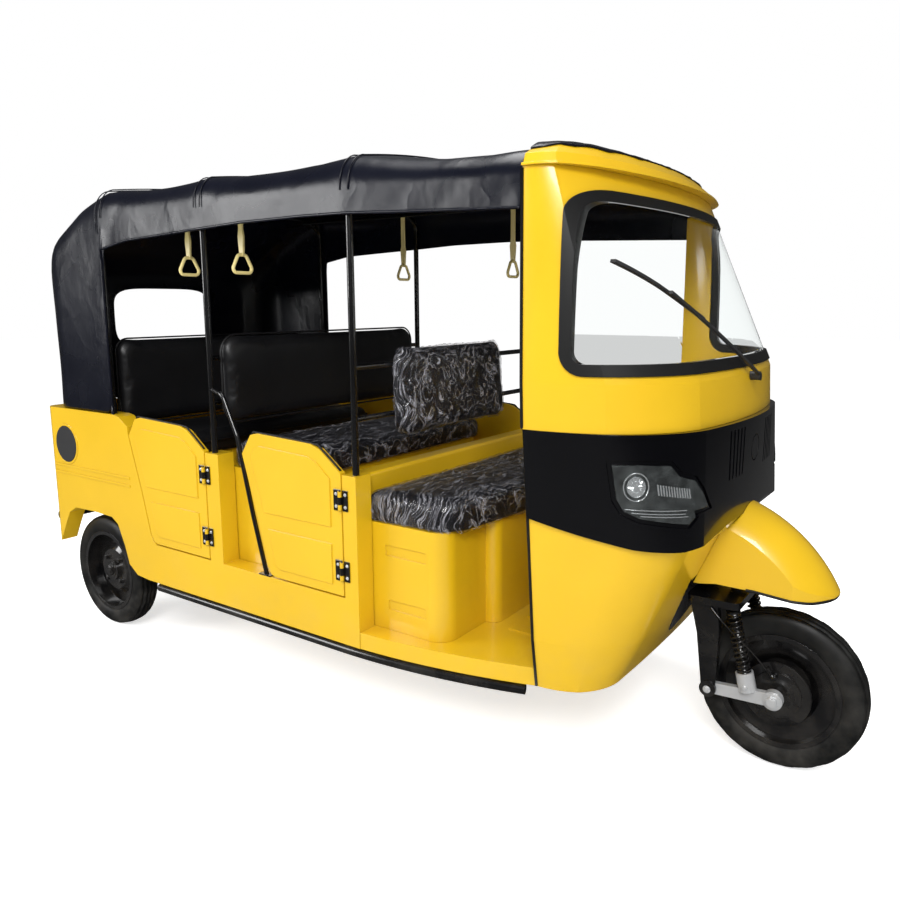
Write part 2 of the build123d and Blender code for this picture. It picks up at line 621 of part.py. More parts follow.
def make_side_bodies():
    """Left and right body sides: hollow quarter, pillars and sill."""
    y0 = -HALF_WIDTH
    side = prism_y(side_outline(), y0, y0 + SIDE_DEPTH)
    corner = side.edges().filter_by(Axis.Z).group_by(Axis.X)[0].sort_by(Axis.Y)[0]
    side = fillet(corner, 48)
    side -= prism_y([(TAIL_X + SKIN, 545), (300, 545), (316, 700), (290, 925), (TAIL_X + SKIN, 925)],
                    y0 + SKIN, y0 + SIDE_DEPTH + 1)
    side -= block(430, 1450, y0 + SKIN, y0 + SIDE_DEPTH + 1, BODY_BOTTOM - 1, SILL_TOP - SKIN)
    cap_x, cap_z, cap_r = LAMP_CAP
    side -= rod((cap_x, y0 - 1, cap_z), (cap_x, y0 + 12, cap_z), cap_r + 1)
    for z in MOULDING_Z:
        side += block(-240, 316, y0 - MOULDING, y0 + 1, z - 5, z + 5)
    side += rod((cap_x, y0 - MOULDING, cap_z), (cap_x, y0 + 1, cap_z), cap_r + 10, cap_r + 1)
    return both_sides(side)


def make_side_caps():
    """Round black caps let into the quarters."""
    cap_x, cap_z, cap_r = LAMP_CAP
    cap = rod((cap_x, -HALF_WIDTH - 4, cap_z), (cap_x, -HALF_WIDTH + 12 - SEAT_GAP, cap_z), cap_r)
    return both_sides(cap)


def make_tail_panel():
    """The tail between the quarters."""
    half = HALF_WIDTH - SIDE_DEPTH - SEAT_GAP
    panel = block(TAIL_X, TAIL_X + SKIN, -half, half, 480, QUARTER_TOP)
    return panel - block(TAIL_X - 1, TAIL_X + 8, -half + 90, half - 90, 560, 860)


def make_tail_lamps():
    """Upright lamp clusters on the tail."""
    lamp = block(TAIL_X - 22, TAIL_X - SEAT_GAP, -525, -462, 620, 800)
    return both_sides(fillet(lamp.edges().filter_by(Axis.X), 14))


HINGE_Z = (775.0, 545.0)
HINGE_AXIS_Y = -HALF_WIDTH - 9.0
HINGE_AXIS_AHEAD = 3.0     # the hinge axis lies this far ahead of the door's edge
KNUCKLE_RADIUS = 6.0
PIN_RADIUS = 3.5
LEAF_THICK = 4.0
LEAF_HALF = 33.0           # half the leaf's height
KNUCKLE_HALF = 12.0        # half the fixed middle knuckle's height
KNUCKLE_END = 30.0


# the raised panels of a door: distance behind the hinge line, height
DOOR_PANELS = [[(46, 682), (46, 838), (102, 884), (140, 898), (372, 909), (396, 900), (416, 868), (358, 682)],
               [(46, 492), (46, 626), (342, 626), (312, 506), (296, 492)]]
PANEL_RISE = 3.5


def make_door(hinge_x):
    """A right-hand half door, closed, with its hinge leaves and knuckles."""
    y0 = -HALF_WIDTH
    axis_x = hinge_x + HINGE_AXIS_AHEAD
    door = prism_y([(hinge_x - back, z) for back, z in DOOR_OUTLINE], y0, y0 + DOOR_THICK)
    for panel in DOOR_PANELS:
        door += prism_y([(hinge_x - back, z) for back, z in panel], y0 - PANEL_RISE, y0 + 1)
    for z in HINGE_Z:
        door += block(hinge_x - 28, hinge_x - 2, y0 - LEAF_THICK, y0, z - LEAF_HALF, z + LEAF_HALF)
        start = KNUCKLE_HALF + SEAT_GAP
        for z0, z1 in ((z + start, z + KNUCKLE_END), (z - KNUCKLE_END, z - start)):
            ear = block(hinge_x - 8, axis_x, y0 - LEAF_THICK - 3, y0 - LEAF_THICK + 1, z0, z1)
            ear += upright(axis_x, HINGE_AXIS_Y, z0, z1, KNUCKLE_RADIUS)
            door += ear - upright(axis_x, HINGE_AXIS_Y, z0 - 1, z1 + 1, PIN_RADIUS + TURN_FIT)
    return door


def make_door_hinges():
    """Fixed hinge leaves on the pillars, with their pins."""
    leaves = []
    y0 = -HALF_WIDTH
    for hinge_x in DOOR_HINGE_X:
        axis_x = hinge_x + HINGE_AXIS_AHEAD
        for z in HINGE_Z:
            back = y0 - LEAF_THICK
            leaf = block(hinge_x + 8, hinge_x + 30, back, y0 - SEAT_GAP, z - LEAF_HALF, z + LEAF_HALF)
            leaf += block(axis_x, hinge_x + 10, HINGE_AXIS_Y, back + 1, z - KNUCKLE_HALF, z + KNUCKLE_HALF)
            leaf += upright(axis_x, HINGE_AXIS_Y, z - KNUCKLE_HALF, z + KNUCKLE_HALF, KNUCKLE_RADIUS)
            leaf += upright(axis_x, HINGE_AXIS_Y, z - KNUCKLE_END - 2, z + KNUCKLE_END + 2, PIN_RADIUS)
            leaves += both_sides(leaf)
    return leaves


# ---- canopy and its frame ------------------------------------------------------------------------
# station, half width, top of the straight side, shoulder height, shoulder width, crown height
ROOF_HOOPS = [(OPENING_X, CANOPY_HALF, 1715, 1818, 75, 1858), (POST_X[0], CANOPY_HALF, 1710, 1811, 70, 1852),
              (POST_X[1], CANOPY_HALF, 1712, 1816, 80, 1858),
              (CAB_REAR - SEAT_GAP, CANOPY_HALF, 1690, 1771, 92, 1817)]
REAR_HOOPS = [(TAIL_X, 480, 1420, 1498, 60, 1524), (-235, 560, 1490, 1580, 70, 1610),
              (-133, CANOPY_HALF, 1560, 1668, 78, 1702), (50, CANOPY_HALF, 1652, 1766, 78, 1806), ROOF_HOOPS[0]]


def canopy_form(hoops, inset, bottom_z):
    """A solid lofted through the hoops, drawn in by inset."""
    faces = [arch_face(x, half - inset, side_z - inset, shoulder_z - inset, width, top_z - inset, bottom_z)
             for x, half, side_z, shoulder_z, width, top_z in hoops]
    return loft(faces, ruled=True)


def stretched(hoops, rear, front):
    """The hoops with their end stations moved, for cutting clean through."""
    first = (hoops[0][0] + rear, *hoops[0][1:])
    last = (hoops[-1][0] + front, *hoops[-1][1:])
    return [first] + list(hoops[1:-1]) + [last]


def make_canopy_roof():
    """The canopy's roof with its side valances."""
    outer = canopy_form(ROOF_HOOPS, 0, VALANCE_Z)
    inner = canopy_form(stretched(ROOF_HOOPS, -1, 1), CANOPY_THICK, VALANCE_Z - 5)
    return outer - inner


REAR_WINDOW = (258.0, 1200.0, 1455.0)   # half width, bottom, top


def make_canopy_rear():
    """The canopy's back: side walls, rear wall with its window, and the stepped rear roof."""
    hoops = stretched(REAR_HOOPS, 0, -SEAT_GAP)
    bottom = QUARTER_TOP + SEAT_GAP
    outer = canopy_form(hoops, 0, bottom)
    inner = canopy_form(stretched(REAR_HOOPS, CANOPY_THICK, 5), CANOPY_THICK, bottom - 5)
    half, z0, z1 = REAR_WINDOW
    window = block(TAIL_X - 20, TAIL_X + 30, -half, half, z0, z1)
    window = fillet(window.edges().filter_by(Axis.X), 90)
    return outer - inner - window


RAIL_CEILING = (480.0, 1772.0)
BOW_X = 2125.0
PAD_RAILS = (1190.0, 1030.0)
PAD_RAIL_RADIUS = 9.0
REAR_BACK_X = 100.0
MIDDLE_BACK_X = 795.3


def hoop(x, foot):
    """A bent hoop under the canopy, with its feet at one height."""
    half = [(x, -POST_Y, foot), (x, -POST_Y, 1745), (x, -505, 1786)]
    return tube(half + [(x, 0, 1822)] + [(x, -y, z) for x, y, z in reversed(half)], POST_RADIUS, 60)


def make_roof_frame():
    """Posts, hoops, ceiling rails, the driver's back rails and the grab bars."""
    frame = hoop(OPENING_X - 20, QUARTER_TOP + SEAT_GAP)
    for x in POST_X:
        frame += hoop(x, PILLAR_TOP + SEAT_GAP)
    y, z = RAIL_CEILING
    bow = [(BOW_X, -562, 1690), (BOW_X, -545, 1722), (BOW_X, -y, z - 36)]
    frame += tube(bow + [(BOW_X, 0, 1776)] + [(x, -y, z) for x, y, z in reversed(bow)], 8, 20)
    for side in (-1, 1):
        rail = [(OPENING_X - 20, side * y, z), (POST_X[1], side * y, z), (BOW_X, side * y, z - 36)]
        frame += tube(rail, 8, 400)
        frame += grab_bar(side)
    for z in PAD_RAILS:
        frame += rod((POST_X[1], -POST_Y, z), (POST_X[1], POST_Y, z), PAD_RAIL_RADIUS)
        for post, pad in ((OPENING_X - 20, REAR_BACK_X), (POST_X[0], MIDDLE_BACK_X)):
            back = pad - PAD_RAIL_RADIUS - SEAT_GAP
            rail = [(post, -POST_Y, z), (back, -545, z), (back, 545, z), (post, POST_Y, z)]
            frame += tube(rail, PAD_RAIL_RADIUS, 25)
    return frame


def grab_bar(side):
    """The bent bar from the middle post to the sill, behind the front door's free edge."""
    y = side * 598
    start = DOOR_HINGE_X[1] - 467
    foot_x = DOOR_HINGE_X[1] - 318 - 58
    pts = [(POST_X[0], side * POST_Y, 1084), (POST_X[0] + 70, y, 1070), (start - 30, y, 930),
           (DOOR_HINGE_X[1] - 395 - 36, y, 655), (foot_x, y, SILL_TOP + 3)]
    foot = block(foot_x - 28, foot_x + 28, y - 12, y + 12, SILL_TOP + SEAT_GAP, SILL_TOP + 4)
    return tube(pts, 8, 30) + foot


STRAPS = [(595, -1), (893, -1), (838, 1), (1419, 1)]     # station, side
STRAP_END = 1552.0
# the hand loop, seen along the length: across, below the strap's end
LOOP = [(-17.0, 0.0), (-50.0, -62.0), (50.0, -62.0), (17.0, 0.0)]
LOOP_BAR = 6.0


def make_strap_handles():
    """Hanging straps that taper to D-shaped hand loops."""
    straps = []
    rail_y, rail_z = RAIL_CEILING
    for x, side in STRAPS:
        y = side * rail_y
        top = rail_z - 8 - SEAT_GAP
        outline = [(x - 9, top), (x - 9, 1640), (x - 14, 1615), (x - 9, STRAP_END - 4), (x + 9, STRAP_END - 4),
                   (x + 14, 1615), (x + 9, 1640), (x + 9, top)]
        loop = tube([(x, y + a, STRAP_END + b) for a, b in LOOP], LOOP_BAR, 15, closed=True)
        straps.append(prism_y(outline, y - 4, y + 4) + loop)
    return straps


# ---- inside --------------------------------------------------------------------------------------
BENCH_HALF = 536.0
DRIVER_BASE = (1500.6, 1805.0, 700.0)      # rear, front, top
MIDDLE_BASE = (840.0, 1210.0, 800.0)
REAR_BASE = (300.0, 556.0, 800.0)
PARTITION = (1430.0, 1500.0, 850.0)
PRESSINGS = [(1575, 1735, 597, 631), (1585, 1732, 420, 452)]     # sunk panels on the driver's base


def bench_shell(x0, x1, top, bulge):
    """A moulded bench base: a hollow box with round corners, and a forward bulge in its middle."""
    box = block(x0, x1, -BENCH_HALF, BENCH_HALF, FLOOR_TOP + SEAT_GAP, top)
    box = fillet(box.edges().filter_by(Axis.Z).group_by(Axis.X)[-1], 60)
    inner = block(x0 + 12, x1 - 12, -BENCH_HALF + 12, BENCH_HALF - 12, FLOOR_TOP - 5, top - 12)
    inner = fillet(inner.edges().filter_by(Axis.Z).group_by(Axis.X)[-1], 48)
    if bulge:
        front = block(x1 - 80, x1 + bulge, -310, 310, FLOOR_TOP + SEAT_GAP, top)
        box += fillet(front.edges().filter_by(Axis.Z).group_by(Axis.X)[-1], 36)
        nose = block(x1 - 80, x1 + bulge - 12, -298, 298, FLOOR_TOP - 5, top - 12)
        inner += fillet(nose.edges().filter_by(Axis.Z).group_by(Axis.X)[-1], 24)
    return box - inner


def make_bench_bases():
    """The three bench bases; the rear one carries a deck over the axle."""
    driver = bench_shell(*DRIVER_BASE, 42)
    for x0, x1, z0, z1 in PRESSINGS:
        for side in (-1, 1):
            driver -= block(x0, x1, side * BENCH_HALF - 4, side * BENCH_HALF + 4, z0, z1)
    middle = bench_shell(*MIDDLE_BASE, 0)
    x0, x1, top = REAR_BASE
    half = BENCH_HALF
    deck_z = 560
    z0 = FLOOR_TOP + SEAT_GAP
    sheet = [(x1, z0), (x1, top), (140, top), (140, deck_z + 14), (TAIL_X + SKIN + SEAT_GAP, deck_z + 14),
             (TAIL_X + SKIN + SEAT_GAP, deck_z), (154, deck_z), (154, top - 14), (x1 - 14, top - 14),
             (x1 - 14, z0)]
    rear = prism_y(sheet, -half, half)
    return [driver, middle, rear]


def make_partition():
    """The wall behind the driver's bench."""
    x0, x1, top = PARTITION
    wall = block(x0, x1, -BENCH_HALF, BENCH_HALF, FLOOR_TOP + SEAT_GAP, top)
    wall = fillet(wall.edges().filter_by(Axis.Y).group_by(Axis.Z)[-1], 12)
    return wall - block(x0 + 8, x1 - 8, -BENCH_HALF + 8, BENCH_HALF - 8, FLOOR_TOP - 5, top - 12)


def cushion(x0, x1, half, z0, z1, corner, edge):
    """A plain stuffed seat with rounded corners."""
    pad = block(x0, x1, -half, half, z0, z1)
    pad = fillet(pad.edges().filter_by(Axis.Z), corner)
    return fillet(pad.edges().group_by(Axis.Z)[-1], edge)


# plan of the driver's cushion: the near side from the rear to the middle of its front
DRIVER_SEAT = [(1502.0, 538.0), (1742.0, 538.0), (1812.0, 514.0), (1846.0, 450.0), (1880.0, 0.0)]
DRIVER_SEAT_TOP = 790.0


def make_driver_cushion():
    """The driver's bench seat, bowed forward in its middle."""
    z0 = DRIVER_BASE[2] + SEAT_GAP
    near = [(x, -y, z0) for x, y in DRIVER_SEAT]
    far = [(x, y, z0) for x, y in DRIVER_SEAT]
    plan = [Line(near[0], near[1]), ThreePointArc(*near[1:4]), ThreePointArc(near[3], near[4], far[3]),
            ThreePointArc(far[3], far[2], far[1]), Line(far[1], far[0]), Line(far[0], near[0])]
    pad = prism_z(make_face(Wire(plan)), z0, DRIVER_SEAT_TOP)
    return fillet(pad.edges().group_by(Axis.Z)[-1], 20)


def make_passenger_cushions():
    """The middle and rear bench seats."""
    middle = cushion(840, 1232, 530, MIDDLE_BASE[2] + SEAT_GAP, 880, 40, 22)
    rear = cushion(172, 578, 520, REAR_BASE[2] + SEAT_GAP, 880, 40, 22)
    return [middle, rear]


def back_pad(rear, half, z0, z1, thick, centre_y=0.0, lean=0.0):
    """An upright back pad with rounded corners; its front leans back by lean at the top."""
    pad = block(rear, rear + thick, centre_y - half, centre_y + half, z0, z1)
    pad = fillet(pad.edges().filter_by(Axis.X), 55)
    if lean:
        front = [(rear + thick, z0), (rear + thick + 1, z0), (rear + thick + 1, z1), (rear + thick - lean, z1)]
        return pad - prism_y(front, centre_y - half - 1, centre_y + half + 1)
    return fillet(pad.edges().group_by(Axis.X)[-1], thick * 0.4)


def make_driver_back_pad():
    """The driver's back pad on its two rails."""
    return back_pad(POST_X[1] + PAD_RAIL_RADIUS + SEAT_GAP, 308, 960, 1246, 52, -112, 26)


def make_passenger_backrests():
    """Backrests of the middle and rear benches."""
    return [back_pad(MIDDLE_BACK_X, 536, 958, 1272, 50),
            back_pad(REAR_BACK_X, 520, 890, 1242, 60)]


def make_engine_block():
    """The engine under the driver's bench, as one plain block."""
    return block(1529 + SEAT_GAP, 1786 - SEAT_GAP, -165, 165, 250, 540)


def make_dashboard():
    """The instrument shelf under the windshield."""
    return cab_form(UPPER_FORM, CAB_WALL + SEAT_GAP) & block(2425, 2600, -420, 420, 1090, 1176)


def strip_yz(start, end, width):
    """A prism running along X over a straight strip between two (y, z) points."""
    run = Vector(0, end[0] - start[0], end[1] - start[1])
    plane = Plane(origin=(CAB_REAR, *start), x_dir=run, z_dir=(1, 0, 0))
    return extrude(plane * Pos(run.length / 2, 0) * Rectangle(run.length, width), amount=600)


def make_wiper():
    """The parked wiper: boss, arm and blade, lying just off the glass."""
    pivot = (-8, 1172)
    blade = cab_layer(UPPER_FORM, -20, -8) & strip_yz((-516, 1484), (-238, 1338), 9)
    arm = cab_layer(UPPER_FORM, -29, -19) & strip_yz(pivot, (-372, 1408), 10)
    boss = cab_layer(UPPER_FORM, -29, -SEAT_GAP) & rod((CAB_REAR, *pivot), (CAB_REAR + 600, *pivot), 13)
    return blade + arm + boss


# ---- all the pieces ------------------------------------------------------------------------------
def build():
    """Every node by name."""
    tyre = make_tyre()
    front_rim = make_rim(AXLE_RADIUS + TURN_FIT, 78, -1)
    rear_rims = {side: make_rim(AXLE_RADIUS + TURN_FIT, 78, -side) for side in (-1, 1)}
    half_track = REAR_TRACK / 2
    nodes = {
        "chassis_frame": make_chassis_frame(),
        "floor_pan": make_floor_pan(),
        "side_bodies": make_side_bodies(),
        "side_caps": make_side_caps(),
        "tail_panel": make_tail_panel(),
        "tail_lamps": make_tail_lamps(),
        "cab_cowl": make_cab_cowl(),
        "cab_upper": make_cab_upper(),
        "cab_roof": make_cab_roof(),
        "windshield_seal": make_windshield_seal(),
        "windshield_glass": make_windshield_glass(),
        "front_fascia": make_front_fascia(),
        "headlamps": make_headlamps(),
        "front_fender": make_front_fender(),
        "wiper": make_wiper(),
        "dashboard": make_dashboard(),
        "roof_frame": make_roof_frame(),
        "canopy_roof": make_canopy_roof(),
        "canopy_rear": make_canopy_rear(),
        "strap_handles": make_strap_handles(),
        "partition": make_partition(),
        "bench_bases": make_bench_bases(),
        "driver_cushion": make_driver_cushion(),
        "driver_back_pad": make_driver_back_pad(),
        "passenger_cushions": make_passenger_cushions(),
        "passenger_backrests": make_passenger_backrests(),
        "rear_axle": make_rear_axle(),
        "leaf_springs": make_leaf_springs(),
        "engine_block": make_engine_block(),
        "door_hinges": make_door_hinges(),
        "fork": make_fork(),
        "fork_links": make_fork_links(),
        "front_shocks": make_front_shocks(),
        "front_brake": make_front_brake(),
        "handlebar": make_handlebar(),
        "front_tyre": wheel_at(tyre, WHEELBASE, 0),
        "front_rim": wheel_at(front_rim, WHEELBASE, 0),
    }
    for side, name in ((-1, "right"), (1, "left")):
        nodes[f"rear_tyre_{name}"] = wheel_at(tyre, 0, side * half_track)
        nodes[f"rear_rim_{name}"] = wheel_at(rear_rims[side], 0, side * half_track)
        for hinge_x, place in zip(DOOR_HINGE_X, ("rear", "front")):
            door = make_door(hinge_x)
            nodes[f"door_{place}_{name}"] = door if side < 0 else door.mirror(Plane.XZ)
    return nodes


def write(nodes):
    """Moves every piece to the origin's frame and writes its STEP file."""
    os.makedirs("parts", exist_ok=True)
    shift = Location((-MIDDLE_X, 0, 0))
    for name, piece in nodes.items():
        solids = piece if isinstance(piece, list) else [piece]
        flat = [s for item in solids for s in item.solids()]
        shape = flat[0] if len(flat) == 1 else Compound(children=flat)
        export_step(shape.moved(shift), f"parts/{name}.step")


write(build())
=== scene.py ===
import json
import logging
import math
from dataclasses import dataclass
from enum import Enum
from typing import Sequence

import bmesh
import bpy
from mathutils import Matrix, Vector, noise
from mathutils.bvhtree import BVHTree


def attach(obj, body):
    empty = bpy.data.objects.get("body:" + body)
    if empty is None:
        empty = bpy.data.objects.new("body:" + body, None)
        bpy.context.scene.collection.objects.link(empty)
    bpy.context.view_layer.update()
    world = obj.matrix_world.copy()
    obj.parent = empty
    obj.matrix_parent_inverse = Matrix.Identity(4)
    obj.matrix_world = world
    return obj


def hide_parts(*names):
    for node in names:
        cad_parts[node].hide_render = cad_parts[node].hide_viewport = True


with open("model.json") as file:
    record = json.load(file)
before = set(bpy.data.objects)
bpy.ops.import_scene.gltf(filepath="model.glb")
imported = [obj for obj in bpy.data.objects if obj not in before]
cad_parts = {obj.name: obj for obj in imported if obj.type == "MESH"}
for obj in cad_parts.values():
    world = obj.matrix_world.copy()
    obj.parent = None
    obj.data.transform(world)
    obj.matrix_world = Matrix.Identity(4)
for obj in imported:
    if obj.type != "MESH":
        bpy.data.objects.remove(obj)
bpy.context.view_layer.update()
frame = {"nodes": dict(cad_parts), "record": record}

LOG = logging.getLogger("rickshaw")
MM = 0.001
# The CAD's origin lies this far ahead of the rear axle.
MIDDLE = 1276.0
WHEELBASE = 2665.0
AXLE_Z = 242.0
# the side of the centre line, by its sign across
SIDES = ((-1, "right"), (1, "left"))
# station of the hinge pins, by the row of doors
DOOR_ROWS = ((791.0, "rear"), (1461.0, "front"))

Pair = tuple[float, float]
Point = tuple[float, float, float]
Mesh = bmesh.types.BMesh
Tree = bpy.types.NodeTree
Node = bpy.types.Node
Socket = bpy.types.NodeSocket
Outputs = bpy.types.NodeOutputs
Given = dict[str | int, object]


def at(x: float, y: float, z: float) -> Vector:
    """A point given in millimetres ahead of the rear axle, to the left and above the ground."""
    return Vector(((x - MIDDLE) * MM, y * MM, z * MM))


# ---------------- shader nodes


def set_inputs(tree: Tree, node: Node, given: Given) -> None:
    """Links a node's inputs to the sockets given, or sets them to the values given."""
    for key, value in given.items():
        if isinstance(value, Socket):
            tree.links.new(value, node.inputs[key])
        else:
            node.inputs[key].default_value = value


def add_node(tree: Tree, kind: str, given: Given, **settings: object) -> Node:
    """Adds a shader node.

    Args:
        tree: Where the node goes.
        kind: Its type, without "ShaderNode" in front.
        given: A socket to link or a value to set, by input.
        settings: The node's own properties, set before its inputs.

    Returns:
        The new node.
    """
    node = tree.nodes.new("ShaderNode" + kind)
    for key, value in settings.items():
        setattr(node, key, value)
    set_inputs(tree, node, given)
    return node


def add_math(tree: Tree, operation: str, *values: object, clamp: bool = False) -> Socket:
    """Works out a sum of values or sockets."""
    return add_node(tree, "Math", dict(enumerate(values)), operation=operation, use_clamp=clamp).outputs[0]


def add_range(tree: Tree, value: Socket, low: float, high: float, to_low: float = 0.0,
              to_high: float = 1.0) -> Socket:
    """Maps a value from one range to another, and holds it inside."""
    given = {"Value": value, "From Min": low, "From Max": high, "To Min": to_low, "To Max": to_high}
    return add_node(tree, "MapRange", given).outputs["Result"]


def add_mix(tree: Tree, share: Socket, a: object, b: object, kind: str = "RGBA") -> Socket:
    """Mixes two colours, or two numbers, by a share."""
    return add_node(tree, "Mix", {"Factor": share, "A": a, "B": b}, data_type=kind).outputs["Result"]


def grey(level: float) -> tuple[float, ...]:
    """An opaque grey."""
    return (level, level, level, 1.0)


class Group(Enum):
    """The effects that several finishes share."""

    MOTTLE = "mottle"
    GRAIN = "grain"
    CREASE = "crease"
    DUST = "dust"


class ShaderGroups:
    """Builds each shared node group once and hands it out."""

    # the kinds of the sockets that aren't plain numbers
    kinds = {"Where": "NodeSocketVector", "Stretch": "NodeSocketVector", "Colour": "NodeSocketColor"}
    dust_colour = (0.3, 0.27, 0.23, 1.0)

    def __init__(self) -> None:
        """Starts with no group built."""
        self.trees: dict[Group, Tree] = {}

    def get(self, which: Group) -> Tree:
        """The node tree of a group, built at its first use."""
        if which not in self.trees:
            makers = {Group.MOTTLE: self.make_mottle, Group.GRAIN: self.make_grain,
                      Group.CREASE: self.make_crease, Group.DUST: self.make_dust}
            self.trees[which] = makers[which]()
        return self.trees[which]

    def blank(self, which: Group, outputs: Sequence[str], **inputs: object) -> tuple[Tree, Outputs]:
        """Makes an empty group with its sockets.

        Args:
            which: The effect that it is for.
            outputs: The names of what it puts out.
            inputs: The default of each input after Where, which is the place on the surface.

        Returns:
            The new node tree, and what its input node gives.
        """
        tree = bpy.data.node_groups.new(which.value, "ShaderNodeTree")
        for label, value in {"Where": None, **inputs}.items():
            kind = self.kinds.get(label, "NodeSocketFloat")
            socket = tree.interface.new_socket(label, in_out="INPUT", socket_type=kind)
            if value is not None:
                socket.default_value = value
        for label in outputs:
            kind = self.kinds.get(label, "NodeSocketFloat")
            tree.interface.new_socket(label, in_out="OUTPUT", socket_type=kind)
        source = tree.nodes.new("NodeGroupInput")
        tree.nodes.new("NodeGroupOutput").name = "out"
        return tree, source.outputs

    @staticmethod
    def put_out(tree: Tree, **results: Socket) -> Tree:
        """Links what a group puts out, and returns its tree."""
        set_inputs(tree, tree.nodes["out"], results)
        return tree

    @staticmethod
    def cloud(tree: Tree, where: Socket, scale: object, detail: float, rough: float = 0.5) -> Node:
        """Adds a noise texture."""
        given = {"Vector": where, "Scale": scale, "Detail": detail, "Roughness": rough}
        return add_node(tree, "TexNoise", given)

    def make_mottle(self) -> Tree:
        """Slow changes of a colour and of its roughness."""
        tree, source = self.blank(Group.MOTTLE, ("Colour", "Roughness"), Colour=grey(1.0), Amount=0.1,
                                  Size=4.0, Roughness=0.4)
        cloud = self.cloud(tree, source["Where"], source["Size"], 4.0)
        shift = add_range(tree, cloud.outputs["Fac"], 0.3, 0.7, -1.0)
        value = add_math(tree, "ADD", add_math(tree, "MULTIPLY", shift, source["Amount"]), 1.0)
        tint = add_node(tree, "HueSaturation", {"Color": source["Colour"], "Value": value})
        rough = add_math(tree, "MULTIPLY", value, source["Roughness"])
        return self.put_out(tree, Colour=tint.outputs["Color"], Roughness=rough)

    def make_grain(self) -> Tree:
        """The pebbled grain of embossed vinyl or moulded plastic."""
        tree, source = self.blank(Group.GRAIN, ("Height",), Size=400.0)
        cells = add_node(tree, "TexVoronoi", {"Vector": source["Where"], "Scale": source["Size"]},
                         feature="SMOOTH_F1")
        cloud = self.cloud(tree, source["Where"], source["Size"], 2.0)
        height = add_math(tree, "MULTIPLY_ADD", cells.outputs["Distance"], 0.5, cloud.outputs["Fac"])
        return self.put_out(tree, Height=height)

    def make_crease(self) -> Tree:
        """Sharp wandering creases, as in thin film or stretched vinyl; the mask also places the painted
        highlights on a clear film.
        """
        tree, source = self.blank(Group.CREASE, ("Height", "Mask"), Size=20.0, Stretch=(1.0, 1.0, 1.0),
                                  Sharpness=6.0)
        where = source["Where"]
        warp = self.cloud(tree, where, 7.0, 2.0).outputs["Color"]
        pushed = add_node(tree, "VectorMath", {0: warp, 1: (0.12,) * 3, 2: where}, operation="MULTIPLY_ADD")
        drawn = add_node(tree, "VectorMath", {0: pushed.outputs[0], 1: source["Stretch"]},
                         operation="MULTIPLY")
        field = self.cloud(tree, drawn.outputs[0], source["Size"], 3.0)
        ridge = add_math(tree, "ABSOLUTE", add_math(tree, "SUBTRACT", field.outputs["Fac"], 0.5))
        sharp = add_math(tree, "MULTIPLY", ridge, source["Sharpness"])
        height = add_math(tree, "SUBTRACT", 1.0, sharp, clamp=True)
        return self.put_out(tree, Height=height, Mask=height)

    def make_dust(self) -> Tree:
        """Road dust that gathers low down, in patches."""
        tree, source = self.blank(Group.DUST, ("Colour", "Roughness"), Colour=grey(1.0), Roughness=0.4,
                                  Amount=0.1)
        height = add_node(tree, "SeparateXYZ", {0: source["Where"]}).outputs["Z"]
        low = add_range(tree, height, 0.55, 0.1)
        cloud = self.cloud(tree, source["Where"], 9.0, 6.0, 0.65)
        patches = add_range(tree, cloud.outputs["Fac"], 0.4, 0.72)
        share = add_math(tree, "MULTIPLY", add_math(tree, "MULTIPLY", low, patches), source["Amount"])
        colour = add_mix(tree, share, source["Colour"], self.dust_colour)
        rough = add_math(tree, "ADD", source["Roughness"], share, clamp=True)
        return self.put_out(tree, Colour=colour, Roughness=rough)


GROUPS = ShaderGroups()
DRESSED: dict[str, bpy.types.Material] = {}


# ---------------- finishes


